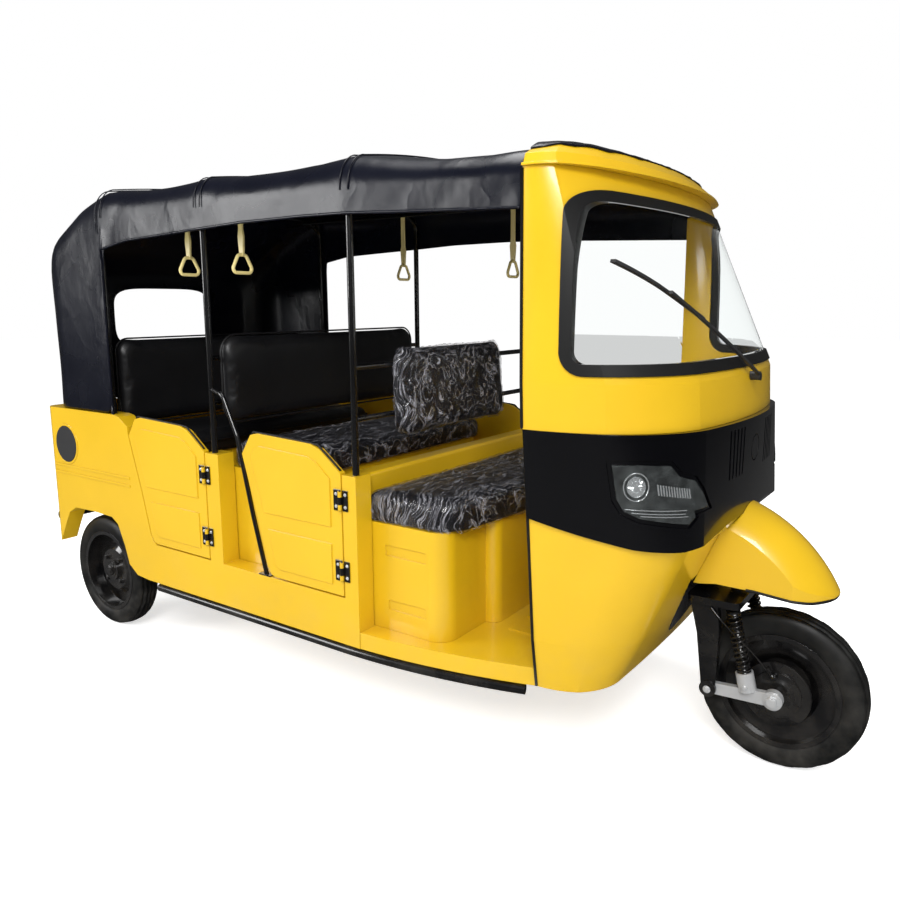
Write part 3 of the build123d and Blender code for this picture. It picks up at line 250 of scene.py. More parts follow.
@dataclass(frozen=True)
class Finish:
    """One surface finish and how its material is mixed; lengths in millimetres."""

    name: str
    colour: Point
    roughness: float = 0.4
    metallic: float = 0.0
    vary: float = 0.08
    vary_size: float = 4.0
    dust: float = 0.0
    grain: float = 0.0
    grain_size: float = 500.0
    crease: float = 0.0
    crease_size: float = 14.0
    crease_stretch: Point = (1.0, 1.0, 1.0)
    coat: float = 0.0
    coat_roughness: float = 0.05
    edge: float = 1.5
    transmission: float = 0.0
    ior: float = 1.5
    alpha: float = 1.0
    specular: float = 0.5
    # painted highlights on a clear film's creases: how sharp they are, how opaque, and their pale colour
    painted_highlight_sharpness: float = 0.0
    painted_highlight_alpha: float = 0.52
    painted_highlight_colour: Point = (0.5, 0.5, 0.55)

    def build(self) -> bpy.types.Material:
        """Makes the material, or returns the one made before."""
        if self.name in DRESSED:
            return DRESSED[self.name]
        material = bpy.data.materials.new(self.name + "_finish")
        DRESSED[self.name] = material
        material.use_nodes = True
        tree = material.node_tree
        shader = tree.nodes["Principled BSDF"]
        where = tree.nodes.new("ShaderNodeTexCoord").outputs["Object"]
        colour, rough = self.surface(tree, where)
        set_inputs(tree, shader, {
            "Base Color": colour, "Roughness": rough, "Metallic": self.metallic, "Coat Weight": self.coat,
            "Coat Roughness": self.coat_roughness, "Transmission Weight": self.transmission, "IOR": self.ior,
            "Alpha": self.alpha, "Specular IOR Level": self.specular,
        })
        self.relief(tree, where, shader)
        # painted highlights along the creases of a clear film
        if self.painted_highlight_sharpness:
            self.paint_crease_highlights(tree, where, shader, colour)
        return material

    @staticmethod
    def place(tree: Tree, which: Group, where: Socket, **values: object) -> Outputs:
        """Places a shared group in the material with its own values, and returns what it puts out."""
        return add_node(tree, "Group", {"Where": where, **values}, node_tree=GROUPS.get(which)).outputs

    def surface(self, tree: Tree, where: Socket) -> tuple[Socket, Socket]:
        """Mixes the colour and roughness over the surface."""
        mottle = self.place(tree, Group.MOTTLE, where, Colour=(*self.colour, 1.0), Amount=self.vary,
                            Size=self.vary_size, Roughness=self.roughness)
        dust = self.place(tree, Group.DUST, where, Colour=mottle["Colour"], Roughness=mottle["Roughness"],
                          Amount=self.dust)
        return dust["Colour"], dust["Roughness"]

    def paint_crease_highlights(self, tree: Tree, where: Socket, shader: Node, colour: Socket) -> None:
        """Paints highlights: pale, less transparent lines along the creases of a clear film, where the
        creases would catch the light.
        """
        fine, broad = (
            self.place(tree, Group.CREASE, where, Size=self.crease_size * size, Stretch=self.crease_stretch,
                       Sharpness=self.painted_highlight_sharpness * sharpness)["Mask"]
            for size, sharpness in ((2.4, 1.0), (1.1, 0.55)))
        lines = add_math(tree, "MAXIMUM", fine, broad)
        # paler and more opaque where a highlight is painted
        set_inputs(tree, shader, {
            "Alpha": add_range(tree, lines, 0.0, 1.0, self.alpha, self.painted_highlight_alpha),
            "Base Color": add_mix(tree, lines, colour, (*self.painted_highlight_colour, 1.0)),
        })

    def relief(self, tree: Tree, where: Socket, shader: Node) -> None:
        """Adds rounded edges, creases and grain to the normal."""
        normals = {}
        if self.edge:
            bevel = add_node(tree, "Bevel", {"Radius": self.edge * MM}, samples=4)
            normals = {"Normal": bevel.outputs["Normal"]}
        layers = []
        if self.crease:
            crease = self.place(tree, Group.CREASE, where, Size=self.crease_size, Stretch=self.crease_stretch)
            layers.append((crease["Height"], self.crease))
        if self.grain:
            layers.append((self.place(tree, Group.GRAIN, where, Size=self.grain_size)["Height"], self.grain))
        for height, depth in layers:
            given = {"Strength": 1.0, "Distance": depth * MM, "Height": height, **normals}
            bump = add_node(tree, "Bump", given)
            normals = {"Normal": bump.outputs["Normal"]}
        set_inputs(tree, shader, normals)


YELLOW = Finish("yellow_paint", (0.66, 0.405, 0.008), 0.3, vary=0.05, vary_size=2.5, dust=0.12, coat=0.55,
                coat_roughness=0.08, grain=0.05, grain_size=220.0, edge=3.0)
BLACK_PAINT = Finish("black_enamel", (0.003, 0.003, 0.0035), 0.26, vary=0.15, dust=0.12, coat=0.5)
RIM_PAINT = Finish("rim_enamel", (0.003, 0.003, 0.0035), 0.2, vary=0.15, dust=0.1, coat=0.7, edge=2.0)
BLACK_PLASTIC = Finish("black_plastic", (0.02, 0.02, 0.021), 0.5, grain=0.1, grain_size=700.0, edge=2.0)
BLACK_GLOSS = Finish("black_gloss", (0.0012, 0.0013, 0.002), 0.16, specular=0.3, vary=0.1, coat=0.6,
                     coat_roughness=0.04, edge=2.5)
RUBBER = Finish("black_rubber", (0.008, 0.008, 0.008), 0.5, specular=0.35, grain=0.08, edge=2.0)
TYRE = Finish("tyre_rubber", (0.0045, 0.0048, 0.0048), 0.5, specular=0.3, vary=0.2, vary_size=9.0, dust=0.12,
              grain=0.12, grain_size=400.0, edge=1.0)
VINYL = Finish("canopy_vinyl", (0.003, 0.0037, 0.0085), 0.28, specular=0.34, vary=0.2, vary_size=3.0,
               grain=0.12, grain_size=520.0, crease=1.1, crease_size=4.5, crease_stretch=(1.0, 0.5, 0.8),
               edge=0.0)
SEAT = Finish("seat_vinyl", (0.006, 0.006, 0.007), 0.42, specular=0.4, vary=0.2, grain=0.15, grain_size=450.0,
              edge=0.0)
HANDLE = Finish("handle_plastic", (0.72, 0.6, 0.25), 0.35, vary=0.06, edge=1.0)
STEEL = Finish("bright_metal", (0.66, 0.67, 0.68), 0.34, metallic=0.45, vary=0.15, grain=0.1,
               grain_size=300.0)
SPRING = Finish("spring_steel", (0.06, 0.06, 0.065), 0.45, metallic=0.6, vary=0.25, dust=0.6)
CAST = Finish("cast_metal", (0.22, 0.22, 0.23), 0.6, metallic=0.7, vary=0.25, dust=0.5, grain=0.4,
              grain_size=160.0)
RED_LENS = Finish("red_lens", (0.45, 0.01, 0.01), 0.15, coat=0.6, edge=1.0)
GLASS = Finish("clear_glass", (0.97, 0.99, 0.985), 0.0, vary=0.0, transmission=1.0, ior=1.02, edge=0.0)
LENS = Finish("lamp_lens", (0.1, 0.11, 0.11), 0.16, metallic=0.75, vary=0.5, vary_size=30.0, crease=0.8,
              crease_size=26.0, coat=1.0, coat_roughness=0.02, edge=1.0)
CHROME = Finish("lamp_chrome", (0.6, 0.63, 0.64), 0.14, metallic=0.75, vary=0.03, edge=0.5)
# the clear film, with painted highlights along its creases
WRAP = Finish("clear_film", (0.02, 0.02, 0.026), 0.13, specular=0.9, vary=0.3, crease=3.0, crease_size=17.0,
              crease_stretch=(2.4, 0.34, 0.2), edge=0.0, alpha=0.22, painted_highlight_sharpness=60.0)
LIGHT_GREY = Finish("pale_floor", (0.9, 0.9, 0.9), 0.9, edge=0.0)

# the finish of each of the record's material slots
NODE_FINISH: dict[str, Finish] = {
    "yellow_paint": YELLOW, "black_paint": BLACK_PAINT, "black_plastic": BLACK_PLASTIC, "red_lens": RED_LENS,
    "black_rubber": RUBBER, "clear_glass": GLASS, "black_gloss": BLACK_GLOSS, "lamp_lens": LENS,
    "canopy_vinyl": VINYL, "handle_plastic": HANDLE, "seat_vinyl": SEAT, "spring_steel": SPRING,
    "cast_metal": CAST, "bright_metal": STEEL, "tyre_rubber": TYRE, "rim_paint": RIM_PAINT,
}


# ---------------- mesh helpers


def add_object(name: str, data: bpy.types.ID) -> bpy.types.Object:
    """Puts an object with some data in the scene."""
    thing = bpy.data.objects.new(name, data)
    bpy.context.scene.collection.objects.link(thing)
    return thing


def new_piece(name: str, mesh: Mesh, finish: Finish, body: str,
              smooth: bool = True) -> bpy.types.Object:
    """Turns a bmesh into a dressed piece that rides on a body.

    Args:
        name: The piece's name.
        mesh: Its geometry, freed here.
        finish: What it is made of.
        body: The CAD body that it moves with.
        smooth: Whether its faces are shaded smooth.

    Returns:
        The new object.
    """
    data = bpy.data.meshes.new(name)
    mesh.to_mesh(data)
    mesh.free()
    for face in data.polygons:
        face.use_smooth = smooth
    piece = add_object(name, data)
    data.materials.append(finish.build())
    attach(piece, body)
    return piece


def circle(count: int) -> list[Pair]:
    """The cosines and sines of even steps round a circle."""
    return [(math.cos(math.tau * k / count), math.sin(math.tau * k / count)) for k in range(count)]


def square_to(axis: Vector) -> tuple[Vector, Vector]:
    """Two directions at right angles to an axis and to each other."""
    side = axis.orthogonal().normalized()
    return side, axis.cross(side)


def skin_grid(mesh: Mesh, rows: Sequence[Sequence[Vector]],
              closed: bool = False) -> list[list[bmesh.types.BMVert]]:
    """Adds a grid of faces over rows of points, closed across each row if asked."""
    grid = [[mesh.verts.new(p) for p in row] for row in rows]
    for low, high in zip(grid, grid[1:]):
        count = len(low)
        for i in range(count if closed else count - 1):
            j = (i + 1) % count
            mesh.faces.new((low[i], low[j], high[j], high[i]))
    return grid


def sweep_tube(mesh: Mesh, path: Sequence[Vector], radius: float, sides: int = 10,
               closed: bool = False) -> None:
    """Adds a round tube along a path of points; lengths in metres."""
    count = len(path)
    side = None
    rows = []
    for i, point in enumerate(path):
        ahead = path[(i + 1) % count] if closed or i < count - 1 else point
        behind = path[i - 1] if closed or i > 0 else point
        along = (ahead - behind).normalized()
        if side is None:
            side = along.orthogonal().normalized()
        side = (side - along * side.dot(along)).normalized()
        other = along.cross(side)
        rows.append([point + (side * c + other * s) * radius for c, s in circle(sides)])
    if closed:
        rows.append(rows[0])
    grid = skin_grid(mesh, rows, closed=True)
    if not closed:
        mesh.faces.new(grid[0])
        mesh.faces.new(list(reversed(grid[-1])))


def smooth_path(points: Sequence[Vector], steps: int = 8) -> list[Vector]:
    """A Catmull-Rom curve through points."""
    out = []
    last = len(points) - 1
    for i in range(last):
        p0, p1, p2, p3 = (points[min(max(j, 0), last)] for j in range(i - 1, i + 3))
        for k in range(steps):
            t = k / steps
            out.append(0.5 * ((2 * p1) + (p2 - p0) * t + (2 * p0 - 5 * p1 + 4 * p2 - p3) * t * t
                              + (3 * p1 - p0 - 3 * p2 + p3) * t ** 3))
    out.append(points[last].copy())
    return out


def add_modifier(piece: bpy.types.Object, kind: str, **values: object) -> None:
    """Adds a modifier with its values set."""
    modifier = piece.modifiers.new(kind.lower(), kind)
    for key, value in values.items():
        setattr(modifier, key, value)


def apply_modifiers(piece: bpy.types.Object) -> None:
    """Bakes a piece's modifiers into its mesh."""
    depsgraph = bpy.context.evaluated_depsgraph_get()
    data = bpy.data.meshes.new_from_object(piece.evaluated_get(depsgraph))
    piece.modifiers.clear()
    old = piece.data
    piece.data = data
    bpy.data.meshes.remove(old)


def thicken(piece: bpy.types.Object, thickness: float) -> None:
    """Gives a sheet its thickness in metres, and smooths it."""
    add_modifier(piece, "SOLIDIFY", thickness=thickness, offset=-1.0)
    add_modifier(piece, "SUBSURF", levels=1, render_levels=1)
    apply_modifiers(piece)


def arc_points(a: Pair, b: Pair, c: Pair, steps: int) -> list[Pair]:
    """Points along the circle through three flat points, without the last one."""
    (ax, ay), (bx, by), (cx, cy) = a, b, c
    aa, bb, cc = (x * x + y * y for x, y in (a, b, c))
    d = 2 * (ax * (by - cy) + bx * (cy - ay) + cx * (ay - by))
    ux = (aa * (by - cy) + bb * (cy - ay) + cc * (ay - by)) / d
    uy = (aa * (cx - bx) + bb * (ax - cx) + cc * (bx - ax)) / d
    start, middle, end = (math.atan2(y - uy, x - ux) for x, y in (a, b, c))
    middle = start + math.remainder(middle - start, math.tau)
    end = middle + math.remainder(end - middle, math.tau)
    radius = math.hypot(ax - ux, ay - uy)
    return [(ux + radius * math.cos(start + (end - start) * k / steps),
             uy + radius * math.sin(start + (end - start) * k / steps)) for k in range(steps)]


def surface_of(*nodes: str) -> BVHTree:
    """A search tree over the faces of some CAD nodes, in world coordinates."""
    verts, faces = [], []
    for name in nodes:
        node = frame["nodes"][name]
        start = len(verts)
        verts += [node.matrix_world @ v.co for v in node.data.vertices]
        faces += [[start + i for i in p.vertices] for p in node.data.polygons]
    return BVHTree.FromPolygons(verts, faces)


def add_bolt(mesh: Mesh, spot: Vector, axis: Vector, radius: float, height: float) -> None:
    """Adds a hexagonal bolt head with a washer under it.

    Args:
        mesh: Where its faces go.
        spot: The middle of its seat.
        axis: The way that it stands out.
        radius: Half the width over its corners, in millimetres.
        height: The head's height, in millimetres.
    """
    axis = axis.normalized()
    side, other = square_to(axis)
    # sides, share of the radius, and the foot and top as shares of the height: washer, head, crown
    for sides, size, low, high in ((20, 1.45, 0.0, 0.25), (6, 1.0, 0.25, 1.0), (6, 0.82, 1.0, 1.15)):
        rows = [[spot + (axis * height * level + (side * c + other * s) * radius * size) * MM
                 for c, s in circle(sides)] for level in (low, high)]
        mesh.faces.new(skin_grid(mesh, rows, closed=True)[1])


def lerp_table(table: Sequence[Pair], x: float) -> float:
    """Reads a table of (x, value) rows between its rows."""
    if x <= table[0][0]:
        return table[0][1]
    for (x0, v0), (x1, v1) in zip(table, table[1:]):
        if x <= x1:
            return v0 + (v1 - v0) * (x - x0) / (x1 - x0)
    return table[-1][1]


# ---------------- canopy


@dataclass
class Canopy:
    """The vinyl canopy: one sheet over the hoops, down the sides behind and round the back.

    Lengths and heights are in millimetres, as at() takes them, unless a name ends in _m.
    """

    half: float = 606.0
    front: float = 2108.0
    opening: float = 224.0
    tail: float = -283.0
    side_foot: float = 951.0
    window_half: float = 258.0
    window_low: float = 1190.0
    window_high: float = 1455.0
    window_rounding: float = 5.0
    sag: float = 16.0
    sheet_m: float = 0.003
    hem_m: float = 0.005
    seam_m: float = 0.0022
    seam_shift: float = 16.0
    wave: float = 4.5
    fine_wave: float = 2.2
    fold: float = 4.5
    hoop_pull: float = 90.0
    middle_hoops: Pair = (826.0, 1506.0)
    lap_m: float = 0.002
    lap_start: float = 2112.0
    lap_reach: float = 140.0
    lap_half: float = 570.0
    lap_steps: int = 90
    flank_steps: int = 12
    bend_steps: int = 9
    crown_steps: int = 11
    # station, half width, top of the straight side, shoulder height, shoulder width, crown height
    hoops: tuple[tuple[float, ...], ...] = (
        (-283, 480, 1420, 1498, 60, 1524), (-235, 560, 1490, 1580, 70, 1610),
        (-133, 606, 1560, 1668, 78, 1702), (50, 606, 1652, 1766, 78, 1806),
        (224, 606, 1715, 1818, 75, 1858), (826, 606, 1710, 1811, 70, 1852),
        (1506, 606, 1712, 1816, 80, 1858), (2110, 606, 1690, 1771, 92, 1817),
    )
    lower_edge: tuple[Pair, ...] = (
        (219, 1590), (384, 1617), (601, 1626), (829, 1635), (1036, 1644), (1315, 1646), (1514, 1643),
        (1710, 1634), (2110, 1618),
    )

    def shape(self, x: float) -> tuple[float, ...]:
        """The hoop's measures at a station, with the sag between hoops."""
        for low, high in zip(self.hoops, self.hoops[1:]):
            if x <= high[0]:
                t = (x - low[0]) / (high[0] - low[0])
                sizes = [a + (b - a) * t for a, b in zip(low[1:], high[1:])]
                sag = self.sag * math.sin(math.pi * t) if low[0] >= self.opening else 0.0
                sizes[4] -= sag
                sizes[2] -= sag * 0.9
                sizes[0] -= sag * 0.35
                return tuple(sizes)
        return self.hoops[-1][1:]

    def arch(self, x: float) -> list[Vector]:
        """Points across the sheet at one station, from the right lower edge to the left one."""
        half, side_z, shoulder_z, shoulder_in, top_z = self.shape(x)
        foot = self.side_foot if x < self.opening else lerp_table(self.lower_edge, x)
        near = [(half, foot + (side_z - foot) * k / self.flank_steps) for k in range(self.flank_steps)]
        for k in range(self.bend_steps):
            a = math.pi / 2 * k / self.bend_steps
            y = half - shoulder_in * (1 - math.cos(a))
            near.append((y, side_z + (shoulder_z - side_z) * math.sin(a)))
        edge = half - shoulder_in
        for k in range(self.crown_steps + 1):
            y = edge * (1 - k / self.crown_steps)
            near.append((y, shoulder_z + (top_z - shoulder_z) * (1 - (y / edge) ** 2)))
        points = [(-y, z) for y, z in near] + [(y, z) for y, z in reversed(near[:-1])]
        return [at(x, y, z) for y, z in points]

    def stations(self) -> list[float]:
        """Where the sheet's rows lie along the length."""
        x = self.opening + 0.1
        rows = [self.tail, -270, -255, -235, -205, -170, -133, -90, -40, 10, 50, 100, 150, 190, 223.9, x]
        while x < self.front - 30:
            x += 24.0
            rows.append(min(x, self.front))
        if rows[-1] < self.front:
            rows.append(self.front)
        return rows

    def wrinkle(self, mesh: Mesh) -> None:
        """Pushes the sheet in and out a little, more beside the hoops."""
        mesh.normal_update()
        for vert in mesh.verts:
            x, y, z = vert.co
            near_hoop = min(abs(x / MM + MIDDLE - s) for s in (self.opening, *self.middle_hoops, self.front))
            pull = math.exp(-near_hoop / self.hoop_pull)
            wave = noise.noise(Vector((x * 3.0, y * 1.4, z * 3.0))) * self.wave
            fine = noise.noise(Vector((x * 16.0, y * 4.0, z * 7.0))) * self.fine_wave
            slant = x * 5.0 + abs(y) * 3.0 - z * 4.0
            fold = (1.0 - abs(noise.noise(Vector((slant, y * 1.6, z * 2.0))))) ** 6 * self.fold
            vert.co += vert.normal * (wave + fine * pull - fold * (0.35 + pull)) * MM

    def back_wall(self, mesh: Mesh, rim: Sequence[bmesh.types.BMVert]) -> None:
        """Fills the back between the last hoop and the rounded window."""
        outer = [v.co.copy() for v in rim]
        steps = 24
        bottom = [outer[-1].lerp(outer[0], k / steps) for k in range(1, steps)]
        loop = outer + bottom
        centre_z = (self.window_low + self.window_high) / 2
        half_z = (self.window_high - self.window_low) / 2

        def window_point(p: Vector) -> Vector:
            """The window's edge in the direction of an outer point."""
            dy, dz = p.y / MM, p.z / MM - centre_z
            power = self.window_rounding
            reach = ((abs(dy) / self.window_half) ** power + (abs(dz) / half_z) ** power) ** (1 / power)
            return at(self.tail, dy / reach, centre_z + dz / reach)

        inner = [window_point(p) for p in loop]
        ring = list(rim) + [mesh.verts.new(p) for p in bottom]
        rings = 9
        for t in (k / rings for k in range(1, rings + 1)):
            fresh = []
            for p, q in zip(loop, inner):
                spot = p.lerp(q, t)
                # the wall swells by 4 mm between the hoop and the window
                spot.x -= 0.004 * math.sin(math.pi * t)
                fresh.append(mesh.verts.new(spot))
            for i in range(len(ring)):
                j = (i + 1) % len(ring)
                mesh.faces.new((ring[i], ring[j], fresh[j], fresh[i]))
            ring = fresh

    def build(self) -> None:
        """Makes the sheet and its bound edges."""
        mesh = bmesh.new()
        rows = [self.arch(x) for x in self.stations()]
        grid = skin_grid(mesh, rows)
        self.back_wall(mesh, grid[0])
        bmesh.ops.recalc_face_normals(mesh, faces=mesh.faces[:])
        self.wrinkle(mesh)
        sheet = new_piece("canopy_sheet", mesh, VINYL, "root")
        thicken(sheet, self.sheet_m)
        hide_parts("canopy_roof", "canopy_rear")
        self.bindings(rows)
        self.lap()

    def bindings(self, rows: Sequence[Sequence[Vector]]) -> None:
        """The rolled hem along the front, the side openings and the rear opening edges."""
        mesh = bmesh.new()
        front_rows = [row for row in rows if row[0].x > at(self.opening, 0, 0).x]
        sweep_tube(mesh, rows[-1], self.hem_m)
        for index, side in ((0, -1), (-1, 1)):
            fall = [at(self.opening, side * 605, z) for z in range(int(self.side_foot), 1590, 40)]
            sweep_tube(mesh, fall + [row[index] for row in front_rows], self.hem_m)
        for x in (self.opening, *self.middle_hoops):
            for shift in (-self.seam_shift, self.seam_shift):
                seam = self.arch(x + shift)[self.flank_steps - 1:1 - self.flank_steps]
                sweep_tube(mesh, [p + Vector((0, p.y * 0.004, 0.0025)) for p in seam], self.seam_m, sides=6)
        new_piece("canopy_binding", mesh, VINYL, "root")

    def lap(self) -> None:
        """The laced front edge, lying in scallops over the cab's roof."""
        tree = surface_of("cab_roof")
        mesh = bmesh.new()
        rows = []
        for share in (0.0, 0.25, 0.5, 0.75, 0.9, 1.0):
            row = []
            for k in range(self.lap_steps + 1):
                across = -1.0 + 2.0 * k / self.lap_steps
                y = self.lap_half * math.sin(across * math.pi / 2)
                full = max(0.0, 1.0 - (y / self.lap_half) ** 2) ** 0.4
                scallop = 8.0 * abs(math.sin(across * 14.0)) * full
                x = self.lap_start + share * (self.lap_reach * full - scallop)
                hit, normal, _, _ = tree.ray_cast(at(x, y, 2100), Vector((0, 0, -1)))
                if hit is None:
                    hit, normal = at(x, y, 1760), Vector((0, 0, 1))
                lift = 0.0045 + 0.002 * noise.noise(hit * 30.0) - 0.0025 * share
                row.append(hit + normal * lift)
            rows.append(row)
        skin_grid(mesh, rows)
        lap = new_piece("canopy_lap", mesh, VINYL, "root")
        thicken(lap, self.lap_m)
        rim = bmesh.new()
        sweep_tube(rim, rows[-1], 0.0032, sides=6)
        sweep_tube(rim, rows[3], 0.0016, sides=6)
        new_piece("canopy_lap_hem", rim, VINYL, "root")


# ---------------- seats


class Facing(Enum):
    """Which way a pad's sitting face looks."""

    UP = "up"
    AHEAD = "ahead"


@dataclass
class Cushion:
    """A vinyl pad, puffed by cloth simulation, with piping round it or a clear film over it."""

    name: str
    low: Point
    high: Point
    corner: float = 45.0
    fill: float = 0.7
    cap: float = 12.0
    facing: Facing = Facing.UP
    wrapped: bool = False
    lean: float = 0.0
    bowed: tuple[Pair, ...] = ()
    # how far the block is drawn in before it is rounded off, without and with the cloth run after it
    plain_inset: float = 4.0
    cloth_inset: float = -6.0
    frames: int = 20
    pressure: float = 4.0
    welt_share: float = 0.62
    welt_m: float = 0.0035

    @property
    def axis(self) -> int:
        """The coordinate that runs along the way it faces."""
        return 2 if self.facing is Facing.UP else 0

    def outline(self, inset: float = 0.0, segments: int = 6) -> list[Pair]:
        """The rounded outline across the pad's face, in millimetres."""
        if self.bowed:
            return self.bowed_outline(inset)
        (x0, y0, z0), (x1, y1, z1) = self.low, self.high
        a0, a1, b0, b1 = (x0, x1, y0, y1) if self.facing is Facing.UP else (y0, y1, z0, z1)
        a0, a1, b0, b1 = a0 + inset, a1 - inset, b0 + inset, b1 - inset
        r = self.corner
        points = []
        centres = ((a1 - r, b1 - r), (a0 + r, b1 - r), (a0 + r, b0 + r), (a1 - r, b0 + r))
        for quarter, (a, b) in enumerate(centres):
            for k in range(segments + 1):
                angle = math.radians(90 * (quarter + k / segments))
                points.append((a + r * math.cos(angle), b + r * math.sin(angle)))
        return points

    def bowed_outline(self, inset: float) -> list[Pair]:
        """The outline of a seat with a bowed front, from its half plan."""
        rear, corner, turn, front_side, nose = self.bowed
        front, across = front_side[0] - inset, front_side[1]
        bend = arc_points((corner[0], inset - corner[1]), (turn[0] - inset * 0.5, inset - turn[1]),
                          (front, -across), 8)
        bow = arc_points((front, -across), (nose[0] - inset, 0.0), (front, across), 24)
        half = [(rear[0] + inset, inset - rear[1])] + bend
        return half + bow + [(x, -y) for x, y in reversed(half)]

    def lift(self, a: float, b: float, depth: float) -> Vector:
        """A point of the pad from its place on the face and its depth."""
        if self.facing is Facing.UP:
            return at(a, b, depth)
        (back, _, z0), (front, _, z1) = self.low, self.high
        share = (depth - back) / (front - back) * (b - z0) / (z1 - z0)
        return at(depth - self.lean * share, a, b)

    def depth_range(self) -> Pair:
        """The pad's back and front along the way it faces."""
        return self.low[self.axis], self.high[self.axis]

    def block(self, shrink: float) -> Mesh:
        """The unpuffed pad, drawn in all round by some millimetres."""
        mesh = bmesh.new()
        back, front = self.depth_range()
        levels = ((back, shrink + 6), (back + 8, shrink), (front - 20, shrink), (front - 7, shrink + 6),
                  (front - 1, shrink + 18))
        rows = [[self.lift(a, b, depth) for a, b in self.outline(inset)] for depth, inset in levels]
        grid = skin_grid(mesh, rows, closed=True)
        mesh.faces.new(list(reversed(grid[0])))
        mesh.faces.new(grid[-1])
        bmesh.ops.recalc_face_normals(mesh, faces=mesh.faces[:])
        return mesh

    def puff(self, piece: bpy.types.Object) -> None:
        """Runs the cloth simulation on the pad and keeps its result, capped and not behind its back."""
        scene = bpy.context.scene
        start = [v.co.copy() for v in piece.data.vertices]
        cloth = piece.modifiers.new("cloth", "CLOTH")
        cloth.settings.use_pressure = True
        cloth.settings.uniform_pressure_force = self.pressure
        cloth.settings.effector_weights.gravity = 0.0
        cloth.settings.quality = 4
        cloth.point_cache.frame_start = 1
        cloth.point_cache.frame_end = self.frames
        for frame_number in range(1, self.frames + 1):
            scene.frame_set(frame_number)
        moved = piece.evaluated_get(bpy.context.evaluated_depsgraph_get()).to_mesh()
        cap = self.cap * MM
        floor = at(self.low[0], 0, self.low[2])[self.axis]
        results = []
        for origin, vert in zip(start, moved.vertices):
            push = vert.co - origin
            if push.length > cap:
                push *= cap / push.length
            spot = origin + push
            spot[self.axis] = max(spot[self.axis], floor)
            results.append(spot)
        piece.modifiers.clear()
        for vert, spot in zip(piece.data.vertices, results):
            vert.co = spot
        scene.frame_set(1)

    def build(self, node: str) -> None:
        """Makes the pad that stands for a CAD node, and its piping or film."""
        inset, voxel = ((self.cloth_inset, 0.0075))
        pad = new_piece(self.name, self.block(inset), SEAT, "root")
        add_modifier(pad, "REMESH", mode="VOXEL", voxel_size=voxel, use_smooth_shade=True)
        apply_modifiers(pad)
        add_modifier(pad, "SMOOTH", factor=0.5, iterations=4)
        apply_modifiers(pad)
        self.puff(pad)
        add_modifier(pad, "SUBSURF", levels=1, render_levels=1)
        apply_modifiers(pad)
        for face in pad.data.polygons:
            face.use_smooth = True
        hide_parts(node)
        if self.wrapped:
            self.wrap(pad)
        else:
            self.piping()

    def wrap(self, pad: bpy.types.Object) -> None:
        """A loose clear film drawn over the pad, with folds both ways."""
        mesh = bmesh.new()
        mesh.from_mesh(pad.data)
        mesh.normal_update()
        for vert in mesh.verts:
            x, y, z = vert.co
            loose = 0.5 + 0.5 * noise.noise(vert.co * 16.0)
            along = (1.0 - abs(noise.noise(Vector((x * 24.0, y * 8.0, z * 18.0))))) ** 9
            athwart = (1.0 - abs(noise.noise(Vector((x * 8.0 + 5.0, y * 26.0, z * 12.0))))) ** 9
            vert.co += vert.normal * (1.6 + 3.0 * loose + 4.0 * along + 3.0 * athwart) * MM
        new_piece(self.name + "_film", mesh, WRAP, "root")

    def piping(self) -> None:
        """A welt round the pad's front edge."""
        mesh = bmesh.new()
        back, front = self.depth_range()
        depth = back + (front - back) * self.welt_share
        path = [self.lift(a, b, depth) for a, b in self.outline(-2.0, 8)]
        sweep_tube(mesh, path, self.welt_m, sides=8, closed=True)
        new_piece(self.name + "_welt", mesh, SEAT, "root")


# ---------------- wheels


@dataclass
class Tyre:
    """A ribbed road tyre with grooves and a lettering-free sidewall."""

    name: str
    node: str
    body: str
    centre: Point
    segments: int = 144
    # the sidewall and the ribs up to the middle one, as (across, radius) from the bead
    near: tuple[Pair, ...] = (
        (-38, 166), (-39, 172), (-45, 180), (-49, 193), (-49.6, 206), (-47, 218), (-43.5, 226), (-40, 231),
        (-38, 233), (-31, 237), (-30, 231), (-25, 231.5), (-24, 239), (-11, 241.3), (-10, 234.5), (-5, 234.5),
        (-4, 242),
    )
    inner: tuple[Pair, ...] = ((30, 170), (0, 172), (-30, 170))
    # how far the grooves wander across, and the zone that does
    zigzag: float = 1.6
    zigzag_half: float = 32.0
    zigzag_radius: float = 228.0

    def build(self) -> None:
        """Makes the tyre round its axle."""
        mesh = bmesh.new()
        x, y, z = self.centre
        section = (*self.near, *((-a, r) for a, r in reversed(self.near)), *self.inner)
        profile = [(a, r, abs(a) < self.zigzag_half and r > self.zigzag_radius) for a, r in section]
        rows = []
        for k, (c, s) in enumerate(circle(self.segments)):
            shift = self.zigzag if k % 6 < 3 else -self.zigzag
            rows.append([at(x + r * c, y + a + shift * moves, z + r * s) for a, r, moves in profile])
        rows.append(rows[0])
        skin_grid(mesh, rows, closed=True)
        bmesh.ops.remove_doubles(mesh, verts=mesh.verts[:], dist=1e-6)
        bmesh.ops.recalc_face_normals(mesh, faces=mesh.faces[:])
        tyre = new_piece(self.name, mesh, TYRE, self.body)
        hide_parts(self.node)


# ---------------- front suspension


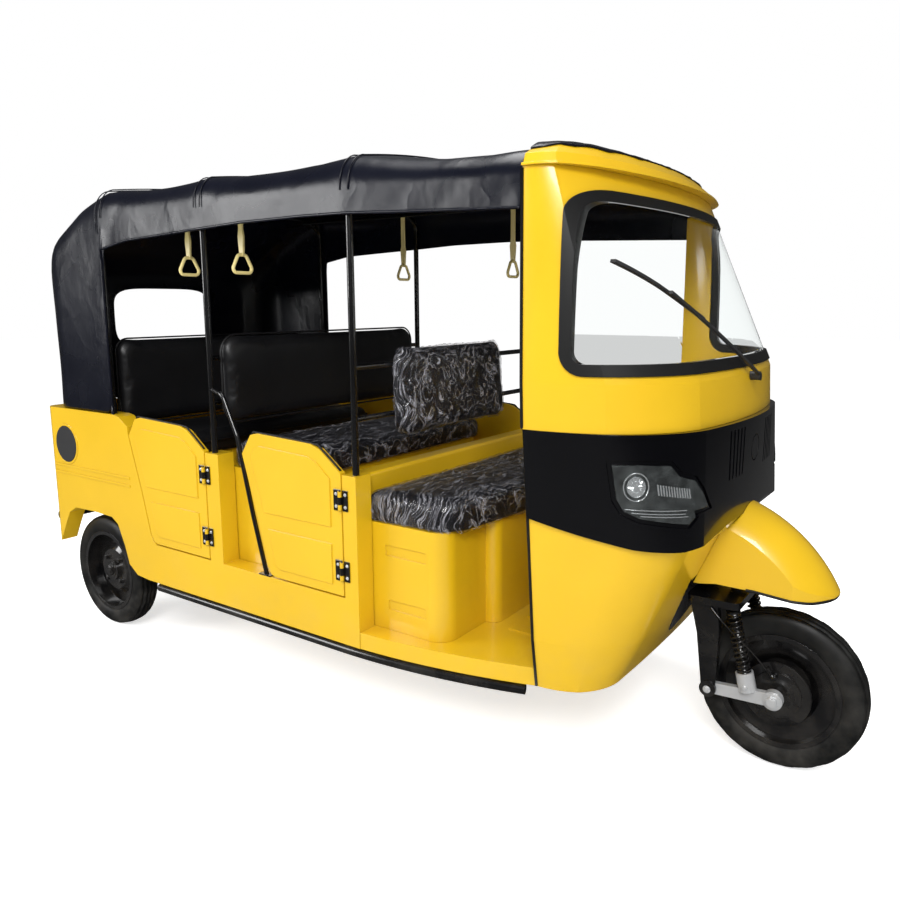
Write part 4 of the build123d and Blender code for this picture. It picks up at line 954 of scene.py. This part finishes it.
@dataclass
class Shock:
    """A coil-over damper: rod, body, cups and an open coil."""

    name: str
    side: int
    foot: Pair = (2590.0, 262.0)
    top: Pair = (2536.5, 493.7)
    across: float = 100.0
    turns: int = 11
    steps: int = 20
    coil_m: float = 0.0185
    wire_m: float = 0.0035
    # foot and top as shares of the length, and radius: body, rod, lower and upper cup, sleeve
    tubes: tuple[Point, ...] = (
        (0.192, 0.34, 17), (0.3, 0.972, 8), (0.192, 0.225, 21), (0.92, 0.972, 21), (0.62, 0.92, 14),
    )

    def spot(self, share: float) -> Vector:
        """A point on the damper's axis."""
        return at(self.foot[0] + share * (self.top[0] - self.foot[0]), self.side * self.across,
                  self.foot[1] + share * (self.top[1] - self.foot[1]))

    def build(self) -> bpy.types.Object:
        """Makes the damper and its spring as one piece."""
        mesh = bmesh.new()
        for start, end, radius in self.tubes:
            sweep_tube(mesh, [self.spot(start), self.spot(end)], radius * MM, sides=24)
        side, other = square_to((self.spot(1) - self.spot(0)).normalized())
        count = self.turns * self.steps
        turn = circle(self.steps) * self.turns
        coil = [self.spot(0.235 + 0.685 * k / count) + (side * c + other * s) * self.coil_m
                for k, (c, s) in enumerate(turn + turn[:1])]
        sweep_tube(mesh, coil, self.wire_m, sides=8)
        return new_piece(self.name, mesh, BLACK_PAINT, "steering")


# ---------------- lamps and small metal


@dataclass
class Headlamp:
    """The bright parts on a lamp's lens: rings round a faceted disc, a fluted strip and three lines.

    Places on the lens are in millimetres across and up from its middle.
    """

    name: str
    side: int
    origin: Point = (2480.0, -500.0, 890.0)
    turn: float = 48.0
    # the bowl's place across and up, and its half height
    bowl: Point = (-78.0, 34.0, 36.0)
    # size as a share of the bowl's, and half thickness
    rings: tuple[Pair, ...] = ((1.0, 1.6), (0.72, 1.1), (0.4, 1.2))
    # size as a share of the bowl's, height above the lens, and how far every other point stands up
    disc: tuple[Point, ...] = ((0.68, 0.3, 0.0), (0.45, 0.6, 1.8), (0.2, 0.8, 0.6))
    flutes: int = 13
    # height, and the ends across
    lines: tuple[Point, ...] = ((-24.0, -104.0, 60.0), (-33.0, -88.0, 56.0), (-41.0, -66.0, 64.0))

    def __post_init__(self) -> None:
        """Finds the lens and its directions."""
        turn = math.radians(self.turn)
        self.across = Vector((math.sin(turn), -self.side * math.cos(turn), 0.0))
        self.out = Vector((math.cos(turn), self.side * math.sin(turn), 0.0))
        x, y, z = self.origin
        self.middle = at(x, -self.side * y, z)
        self.tree = surface_of("headlamps")

    def spot(self, a: float, b: float, proud: float = 0.6) -> Vector:
        """A point just off the lens, from its place across and up."""
        start = self.middle + self.across * a * MM + Vector((0, 0, b * MM)) + self.out * 0.2
        hit, normal, _, _ = self.tree.ray_cast(start, -self.out)
        return start - self.out * 0.24 if hit is None else hit + normal * proud * MM

    def oval(self, size: float, count: int, proud: float = 0.6, facet: float = 0.0) -> list[Vector]:
        """An oval round the bowl's middle, with every other point raised by its facet."""
        a, b, radius = self.bowl
        return [self.spot(a + radius * size * 0.86 * c, b + radius * size * s, proud + facet * (k % 2))
                for k, (c, s) in enumerate(circle(count))]

    def build(self) -> None:
        """Makes the bright parts on the lens."""
        mesh = bmesh.new()
        for size, thick in self.rings:
            sweep_tube(mesh, self.oval(size, 40), thick * MM, sides=8, closed=True)
        disc = [self.oval(size, 28, proud, facet) for size, proud, facet in self.disc]
        mesh.faces.new(skin_grid(mesh, disc, closed=True)[-1])
        for k in range(self.flutes):
            a = -24.0 + 7.5 * k
            flute = [self.spot(a, 40.0 - k * 1.4), self.spot(a + 4.0, 12.0 - k * 1.2)]
            sweep_tube(mesh, flute, 0.0022, sides=6)
        for b, low, high in self.lines:
            line = [self.spot(low + (high - low) * t, b - 8.0 * t) for t in (k / 16 for k in range(17))]
            sweep_tube(mesh, line, 0.0014, sides=6)
        new_piece(self.name, mesh, CHROME, "root", smooth=False)


@dataclass
class Hardware:
    """Nuts, bolts, hinge leaves and rods that the CAD leaves out."""

    levels: Pair = (775.0, 545.0)
    half: float = 614.0
    leaf_half: float = 33.0
    leaf_chamfer: float = 1.2
    bolt: Pair = (3.8, 3.0)
    bolt_steps: Pair = (-20, 20)
    nut_circle: float = 66.0
    # station and height on the fork, distance across, radius and height
    fork_nuts: tuple[tuple[float, ...], ...] = (
        (WHEELBASE, AXLE_Z, 112, 17.0, 13.0), (2479, 231, 124, 8.0, 6.0), (2589, 268, 124, 7.0, 5.0),
    )

    def bolt_pairs(self, mesh: Mesh, x: float, side: int, half: float) -> None:
        """Adds two bolts at each hinge of one row and side."""
        for z in self.levels:
            for step in self.bolt_steps:
                add_bolt(mesh, at(x, side * half, z + step), Vector((0, side, 0)), *self.bolt)

    def leaf(self, mesh: Mesh, x: float, side: int, z: float) -> None:
        """Adds the chamfered plate of a door's hinge leaf, behind the pin at x."""
        x0, x1, z0, z1 = x - 28.6, x - 1.4, z - self.leaf_half - 0.6, z + self.leaf_half + 0.6
        rings = [[at(a, side * y, b) for a, b in
                  ((x0 + c, z0 + c), (x1 - c, z0 + c), (x1 - c, z1 - c), (x0 + c, z1 - c))]
                 for y, c in ((610.2, 0.0), (self.half + 0.6, 0.0), (self.half + 1.2, self.leaf_chamfer))]
        mesh.faces.new(skin_grid(mesh, rings, closed=True)[-1])

    def hinge_bolts(self) -> None:
        """The bolts of the fixed hinge leaves, and the doors' own leaves with their bolts."""
        fixed = bmesh.new()
        for x, _ in DOOR_ROWS:
            for side, _ in SIDES:
                self.bolt_pairs(fixed, x + 21, side, self.half)
        new_piece("hinge_bolts", fixed, STEEL, "root", smooth=False)
        for side, name in SIDES:
            for x, row in DOOR_ROWS:
                body = f"{row}_{name}_door"
                plates, bolts = bmesh.new(), bmesh.new()
                for z in self.levels:
                    self.leaf(plates, x, side, z)
                self.bolt_pairs(bolts, x - 17, side, self.half + 1.0)
                bmesh.ops.recalc_face_normals(plates, faces=plates.faces[:])
                new_piece(body + "_leaves", plates, BLACK_PAINT, body, smooth=False)
                new_piece(body + "_bolts", bolts, STEEL, body, smooth=False)

    def wheel_nuts(self) -> None:
        """Four wheel nuts and a hub nut on each rear wheel, and the nuts of the front fork."""
        for side, name in SIDES:
            body = f"rear_wheel_{name}"
            mesh = bmesh.new()
            out = Vector((0, side, 0))
            for c, s in circle(8)[1::2]:
                spot = at(self.nut_circle * c, side * 517, AXLE_Z + self.nut_circle * s)
                add_bolt(mesh, spot, out, 10.0, 12.0)
            add_bolt(mesh, at(0, side * 534, AXLE_Z), out, 24.0, 10.0)
            new_piece(body + "_nuts", mesh, RIM_PAINT, body, smooth=False)
        mesh = bmesh.new()
        for side, _ in SIDES:
            for x, z, across, radius, height in self.fork_nuts:
                add_bolt(mesh, at(x, side * across, z), Vector((0, side, 0)), radius, height)
        new_piece("fork_nuts", mesh, STEEL, "steering", smooth=False)

    def brake_rod(self) -> None:
        """The thin brake rod from the fork down to the cam."""
        mesh = bmesh.new()
        path = [at(2478, -118, 489), at(2520, -124, 450), at(2600, -104, 372), at(2652, -82, 306)]
        sweep_tube(mesh, smooth_path(path), 0.0028, sides=8)
        sweep_tube(mesh, [at(2657, -80, 298), at(2640, -82, 330)], 0.006, sides=10)
        new_piece("brake_rod", mesh, BLACK_PAINT, "steering")

    def build(self) -> None:
        """Makes all the small metal."""
        self.hinge_bolts()
        self.wheel_nuts()
        self.brake_rod()


@dataclass
class EdgeTrim:
    """The black rubber trims on the cab's rear edges, the fender's lower edge and the doors' tops."""

    # height, half width of the cab's rear edge
    cab_edge: tuple[Pair, ...] = (
        (300, 507), (450, 533), (700, 555), (795, 565), (1050, 588), (1062, 601), (1180, 606), (1712, 608),
    )
    # station, height of the fender's lower edge
    fender_edge: tuple[Pair, ...] = (
        (2443, 558), (2490, 566), (2600, 565), (2690, 558), (2750, 554), (2790, 557),
    )
    # distance behind the hinge, height of a door's upper edge
    door_edge: tuple[Pair, ...] = (
        (8, 866), (90, 927), (131, 941), (380, 952), (414, 944), (456, 882),
    )
    rubber_m: float = 0.0042
    cab_rubber_m: float = 0.0045
    # the middle of the rays that find the fender's skin, and their reach
    fender_middle: Point = (2600, 0, 572)
    fender_reach: float = 420.0

    def doors(self) -> None:
        """Makes the rubber along each door's upper edge."""
        for hinge, row in DOOR_ROWS:
            for side, name in SIDES:
                mesh = bmesh.new()
                path = [at(hinge - back, side * 600, z + 0.5) for back, z in self.door_edge]
                sweep_tube(mesh, smooth_path(path, 3), self.rubber_m, sides=8)
                new_piece(f"{row}_{name}_door_trim", mesh, RUBBER, f"{row}_{name}_door")

    def build(self) -> None:
        """Makes the trims of the cab, the fender and the doors."""
        self.doors()
        mesh = bmesh.new()
        for side, _ in SIDES:
            rear = [at(2109, side * (half + 0.5), z) for z, half in self.cab_edge]
            sweep_tube(mesh, rear, self.cab_rubber_m, sides=8)
        tree = surface_of("front_fender")
        middle = at(*self.fender_middle)
        edge = []
        for k in range(61):
            angle = math.radians(-100 + 200 * k / 60)
            outward = Vector((math.cos(angle), math.sin(angle), 0.0))
            hit, _, _, _ = tree.ray_cast(middle + outward * self.fender_reach * MM, -outward)
            if hit is not None:
                edge.append(Vector((hit.x, hit.y, lerp_table(self.fender_edge, hit.x / MM + MIDDLE) * MM)))
        sweep_tube(mesh, edge, self.rubber_m, sides=8)
        new_piece("edge_trim", mesh, RUBBER, "root")


# ---------------- studio


@dataclass
class Studio:
    """Floor, lamps, world and camera."""

    eye: Point = (3143.69, -2344.44, 1379.73)
    yaw: float = 0.60285
    pitch: float = 0.16133
    roll: float = -0.003167
    focal_pixels: float = 783.5
    centre_pixels: Pair = (469.69, 431.42)
    image: float = 900.0
    sensor: float = 36.0
    floor_corners: tuple[Pair, ...] = ((-3e4, -3e4), (3e4, -3e4), (3e4, 3e4), (-3e4, 3e4))
    floor_glow: float = 0.62
    floor_mirrored: float = 0.06
    surround: float = 0.5
    mirrored: float = 0.06

    def camera(self) -> None:
        """Places the camera."""
        data = bpy.data.cameras.new("camera")
        data.sensor_width = self.sensor
        data.lens = self.focal_pixels / self.image * self.sensor
        data.shift_x = (self.image / 2 - self.centre_pixels[0]) / self.image
        data.shift_y = (self.centre_pixels[1] - self.image / 2) / self.image
        data.clip_end = 200.0
        camera = add_object("camera", data)
        sy, cy, sp, cp = math.sin(self.yaw), math.cos(self.yaw), math.sin(self.pitch), math.cos(self.pitch)
        forward = Vector((-sy * cp, cy * cp, -sp))
        flat = Vector((cy, sy, 0.0))
        lift = flat.cross(forward)
        right = flat * math.cos(self.roll) + lift * math.sin(self.roll)
        up = lift * math.cos(self.roll) - flat * math.sin(self.roll)
        turn = Matrix((right, up, -forward)).transposed().to_4x4()
        camera.matrix_world = Matrix.Translation(at(*self.eye)) @ turn
        bpy.context.scene.camera = camera

    def lamp(self, name: str, spot: Point, aim: Point, size: float, watts: float) -> None:
        """Adds a soft square lamp."""
        data = bpy.data.lights.new(name, "AREA")
        data.shape = "SQUARE"
        data.size = size
        data.energy = watts
        lamp = add_object(name, data)
        lamp.location = at(*spot)
        lamp.rotation_euler = (at(*aim) - lamp.location).to_track_quat("-Z", "Y").to_euler()

    @staticmethod
    def rays(tree: Tree) -> tuple[Socket, Socket]:
        """What tells the rays that see a thing straight or through glass, and the mirrored ones."""
        path = tree.nodes.new("ShaderNodeLightPath").outputs
        seen = add_math(tree, "MAXIMUM", path["Is Camera Ray"], path["Is Transmission Ray"])
        return seen, path["Is Glossy Ray"]

    def floor(self) -> None:
        """A pale floor that the camera sees as white, with the object's shadow."""
        data = bpy.data.meshes.new("floor")
        data.from_pydata([at(x, y, -1.0) for x, y in self.floor_corners], [], [(0, 1, 2, 3)])
        floor = add_object("floor", data)
        material = LIGHT_GREY.build()
        tree = material.node_tree
        seen, mirrored = self.rays(tree)
        set_inputs(tree, tree.nodes["Principled BSDF"], {
            "Emission Color": grey(1.0),
            "Emission Strength": add_math(tree, "MULTIPLY", seen, self.floor_glow),
            "Base Color": add_mix(tree, mirrored, grey(0.9), grey(self.floor_mirrored)),
        })
        data.materials.append(material)

    def world(self) -> None:
        """A soft grey surround that shows as white behind the object."""
        world = bpy.data.worlds.new("studio")
        bpy.context.scene.world = world
        world.use_nodes = True
        tree = world.node_tree
        seen, mirrored = self.rays(tree)
        dim = add_range(tree, mirrored, 0.0, 1.0, self.surround, self.mirrored)
        set_inputs(tree, tree.nodes["Background"],
                   {"Color": grey(1.0), "Strength": add_mix(tree, seen, dim, 1.0, "FLOAT")})

    def build(self) -> None:
        """Sets up the whole studio."""
        self.camera()
        self.world()
        self.floor()
        self.lamp("key", (4300, -4400, 4300), (1300, 0, 800), 2.2, 295.0)
        self.lamp("fill", (-2800, -4300, 2600), (600, 0, 900), 2.4, 170.0)
        self.lamp("top", (1300, 0, 5200), (1300, 0, 900), 3.0, 190.0)
        bpy.context.scene.view_settings.view_transform = "Standard"


def dress_nodes() -> None:
    """Gives every CAD node its finish, by its record's slot."""
    for row in frame["record"]["subparts"]:
        materials = frame["nodes"][row["node"]].data.materials
        materials.clear()
        materials.append(NODE_FINISH[row["material_slot"]].build())


def main() -> None:
    """Builds the studio and every piece."""
    logging.basicConfig(level=logging.INFO, format="%(name)s: %(message)s")
    Studio().build()
    dress_nodes()
    Canopy().build()
    LOG.info("canopy done")
    bow = ((1502.0, 538.0), (1742.0, 538.0), (1812.0, 514.0), (1846.0, 450.0), (1880.0, 0.0))
    seat, back = {"facing": Facing.UP}, {"facing": Facing.AHEAD}
    for name, node, low, high, rest in (
        ("driver_seat", "driver_cushion", (1502, -538, 700.5), (1880, 538, 790),
         {**seat, "wrapped": True, "bowed": bow}),
        ("driver_back", "driver_back_pad", (1516, -420, 960), (1567, 196, 1246),
         {**back, "corner": 50, "wrapped": True, "lean": 26}),
        ("middle_seat", "passenger_cushions", (840, -530, 800.5), (1232, 530, 880),
         {**seat, "wrapped": True}),
        ("middle_back", "passenger_backrests", (796, -536, 958), (845, 536, 1272), {**back, "corner": 62}),
        ("rear_seat", "passenger_cushions", (172, -520, 800.5), (578, 520, 880), seat),
        ("rear_back", "passenger_backrests", (101, -520, 890), (160, 520, 1242), {**back, "corner": 55}),
    ):
        Cushion(name, low, high, **rest).build(node)
        LOG.info("%s done", name)
    for tyre in (
        Tyre("front_tyre_tread", "front_tyre", "front_wheel", (WHEELBASE, 0, AXLE_Z)),
        Tyre("right_tyre_tread", "rear_tyre_right", "rear_wheel_right", (0, -504, AXLE_Z)),
        Tyre("left_tyre_tread", "rear_tyre_left", "rear_wheel_left", (0, 504, AXLE_Z)),
    ):
        tyre.build()
        LOG.info("%s done", tyre.name)
    for side, name in SIDES:
        Headlamp(f"{name}_lamp_bowl", side).build()
    Hardware().build()
    EdgeTrim().build()
    LOG.info("lamps, hardware and trims done")
    for side, name in SIDES:
        shock = Shock(f"{name}_shock", side).build()
        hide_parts("front_shocks")


if __name__ == "__main__":
    main()
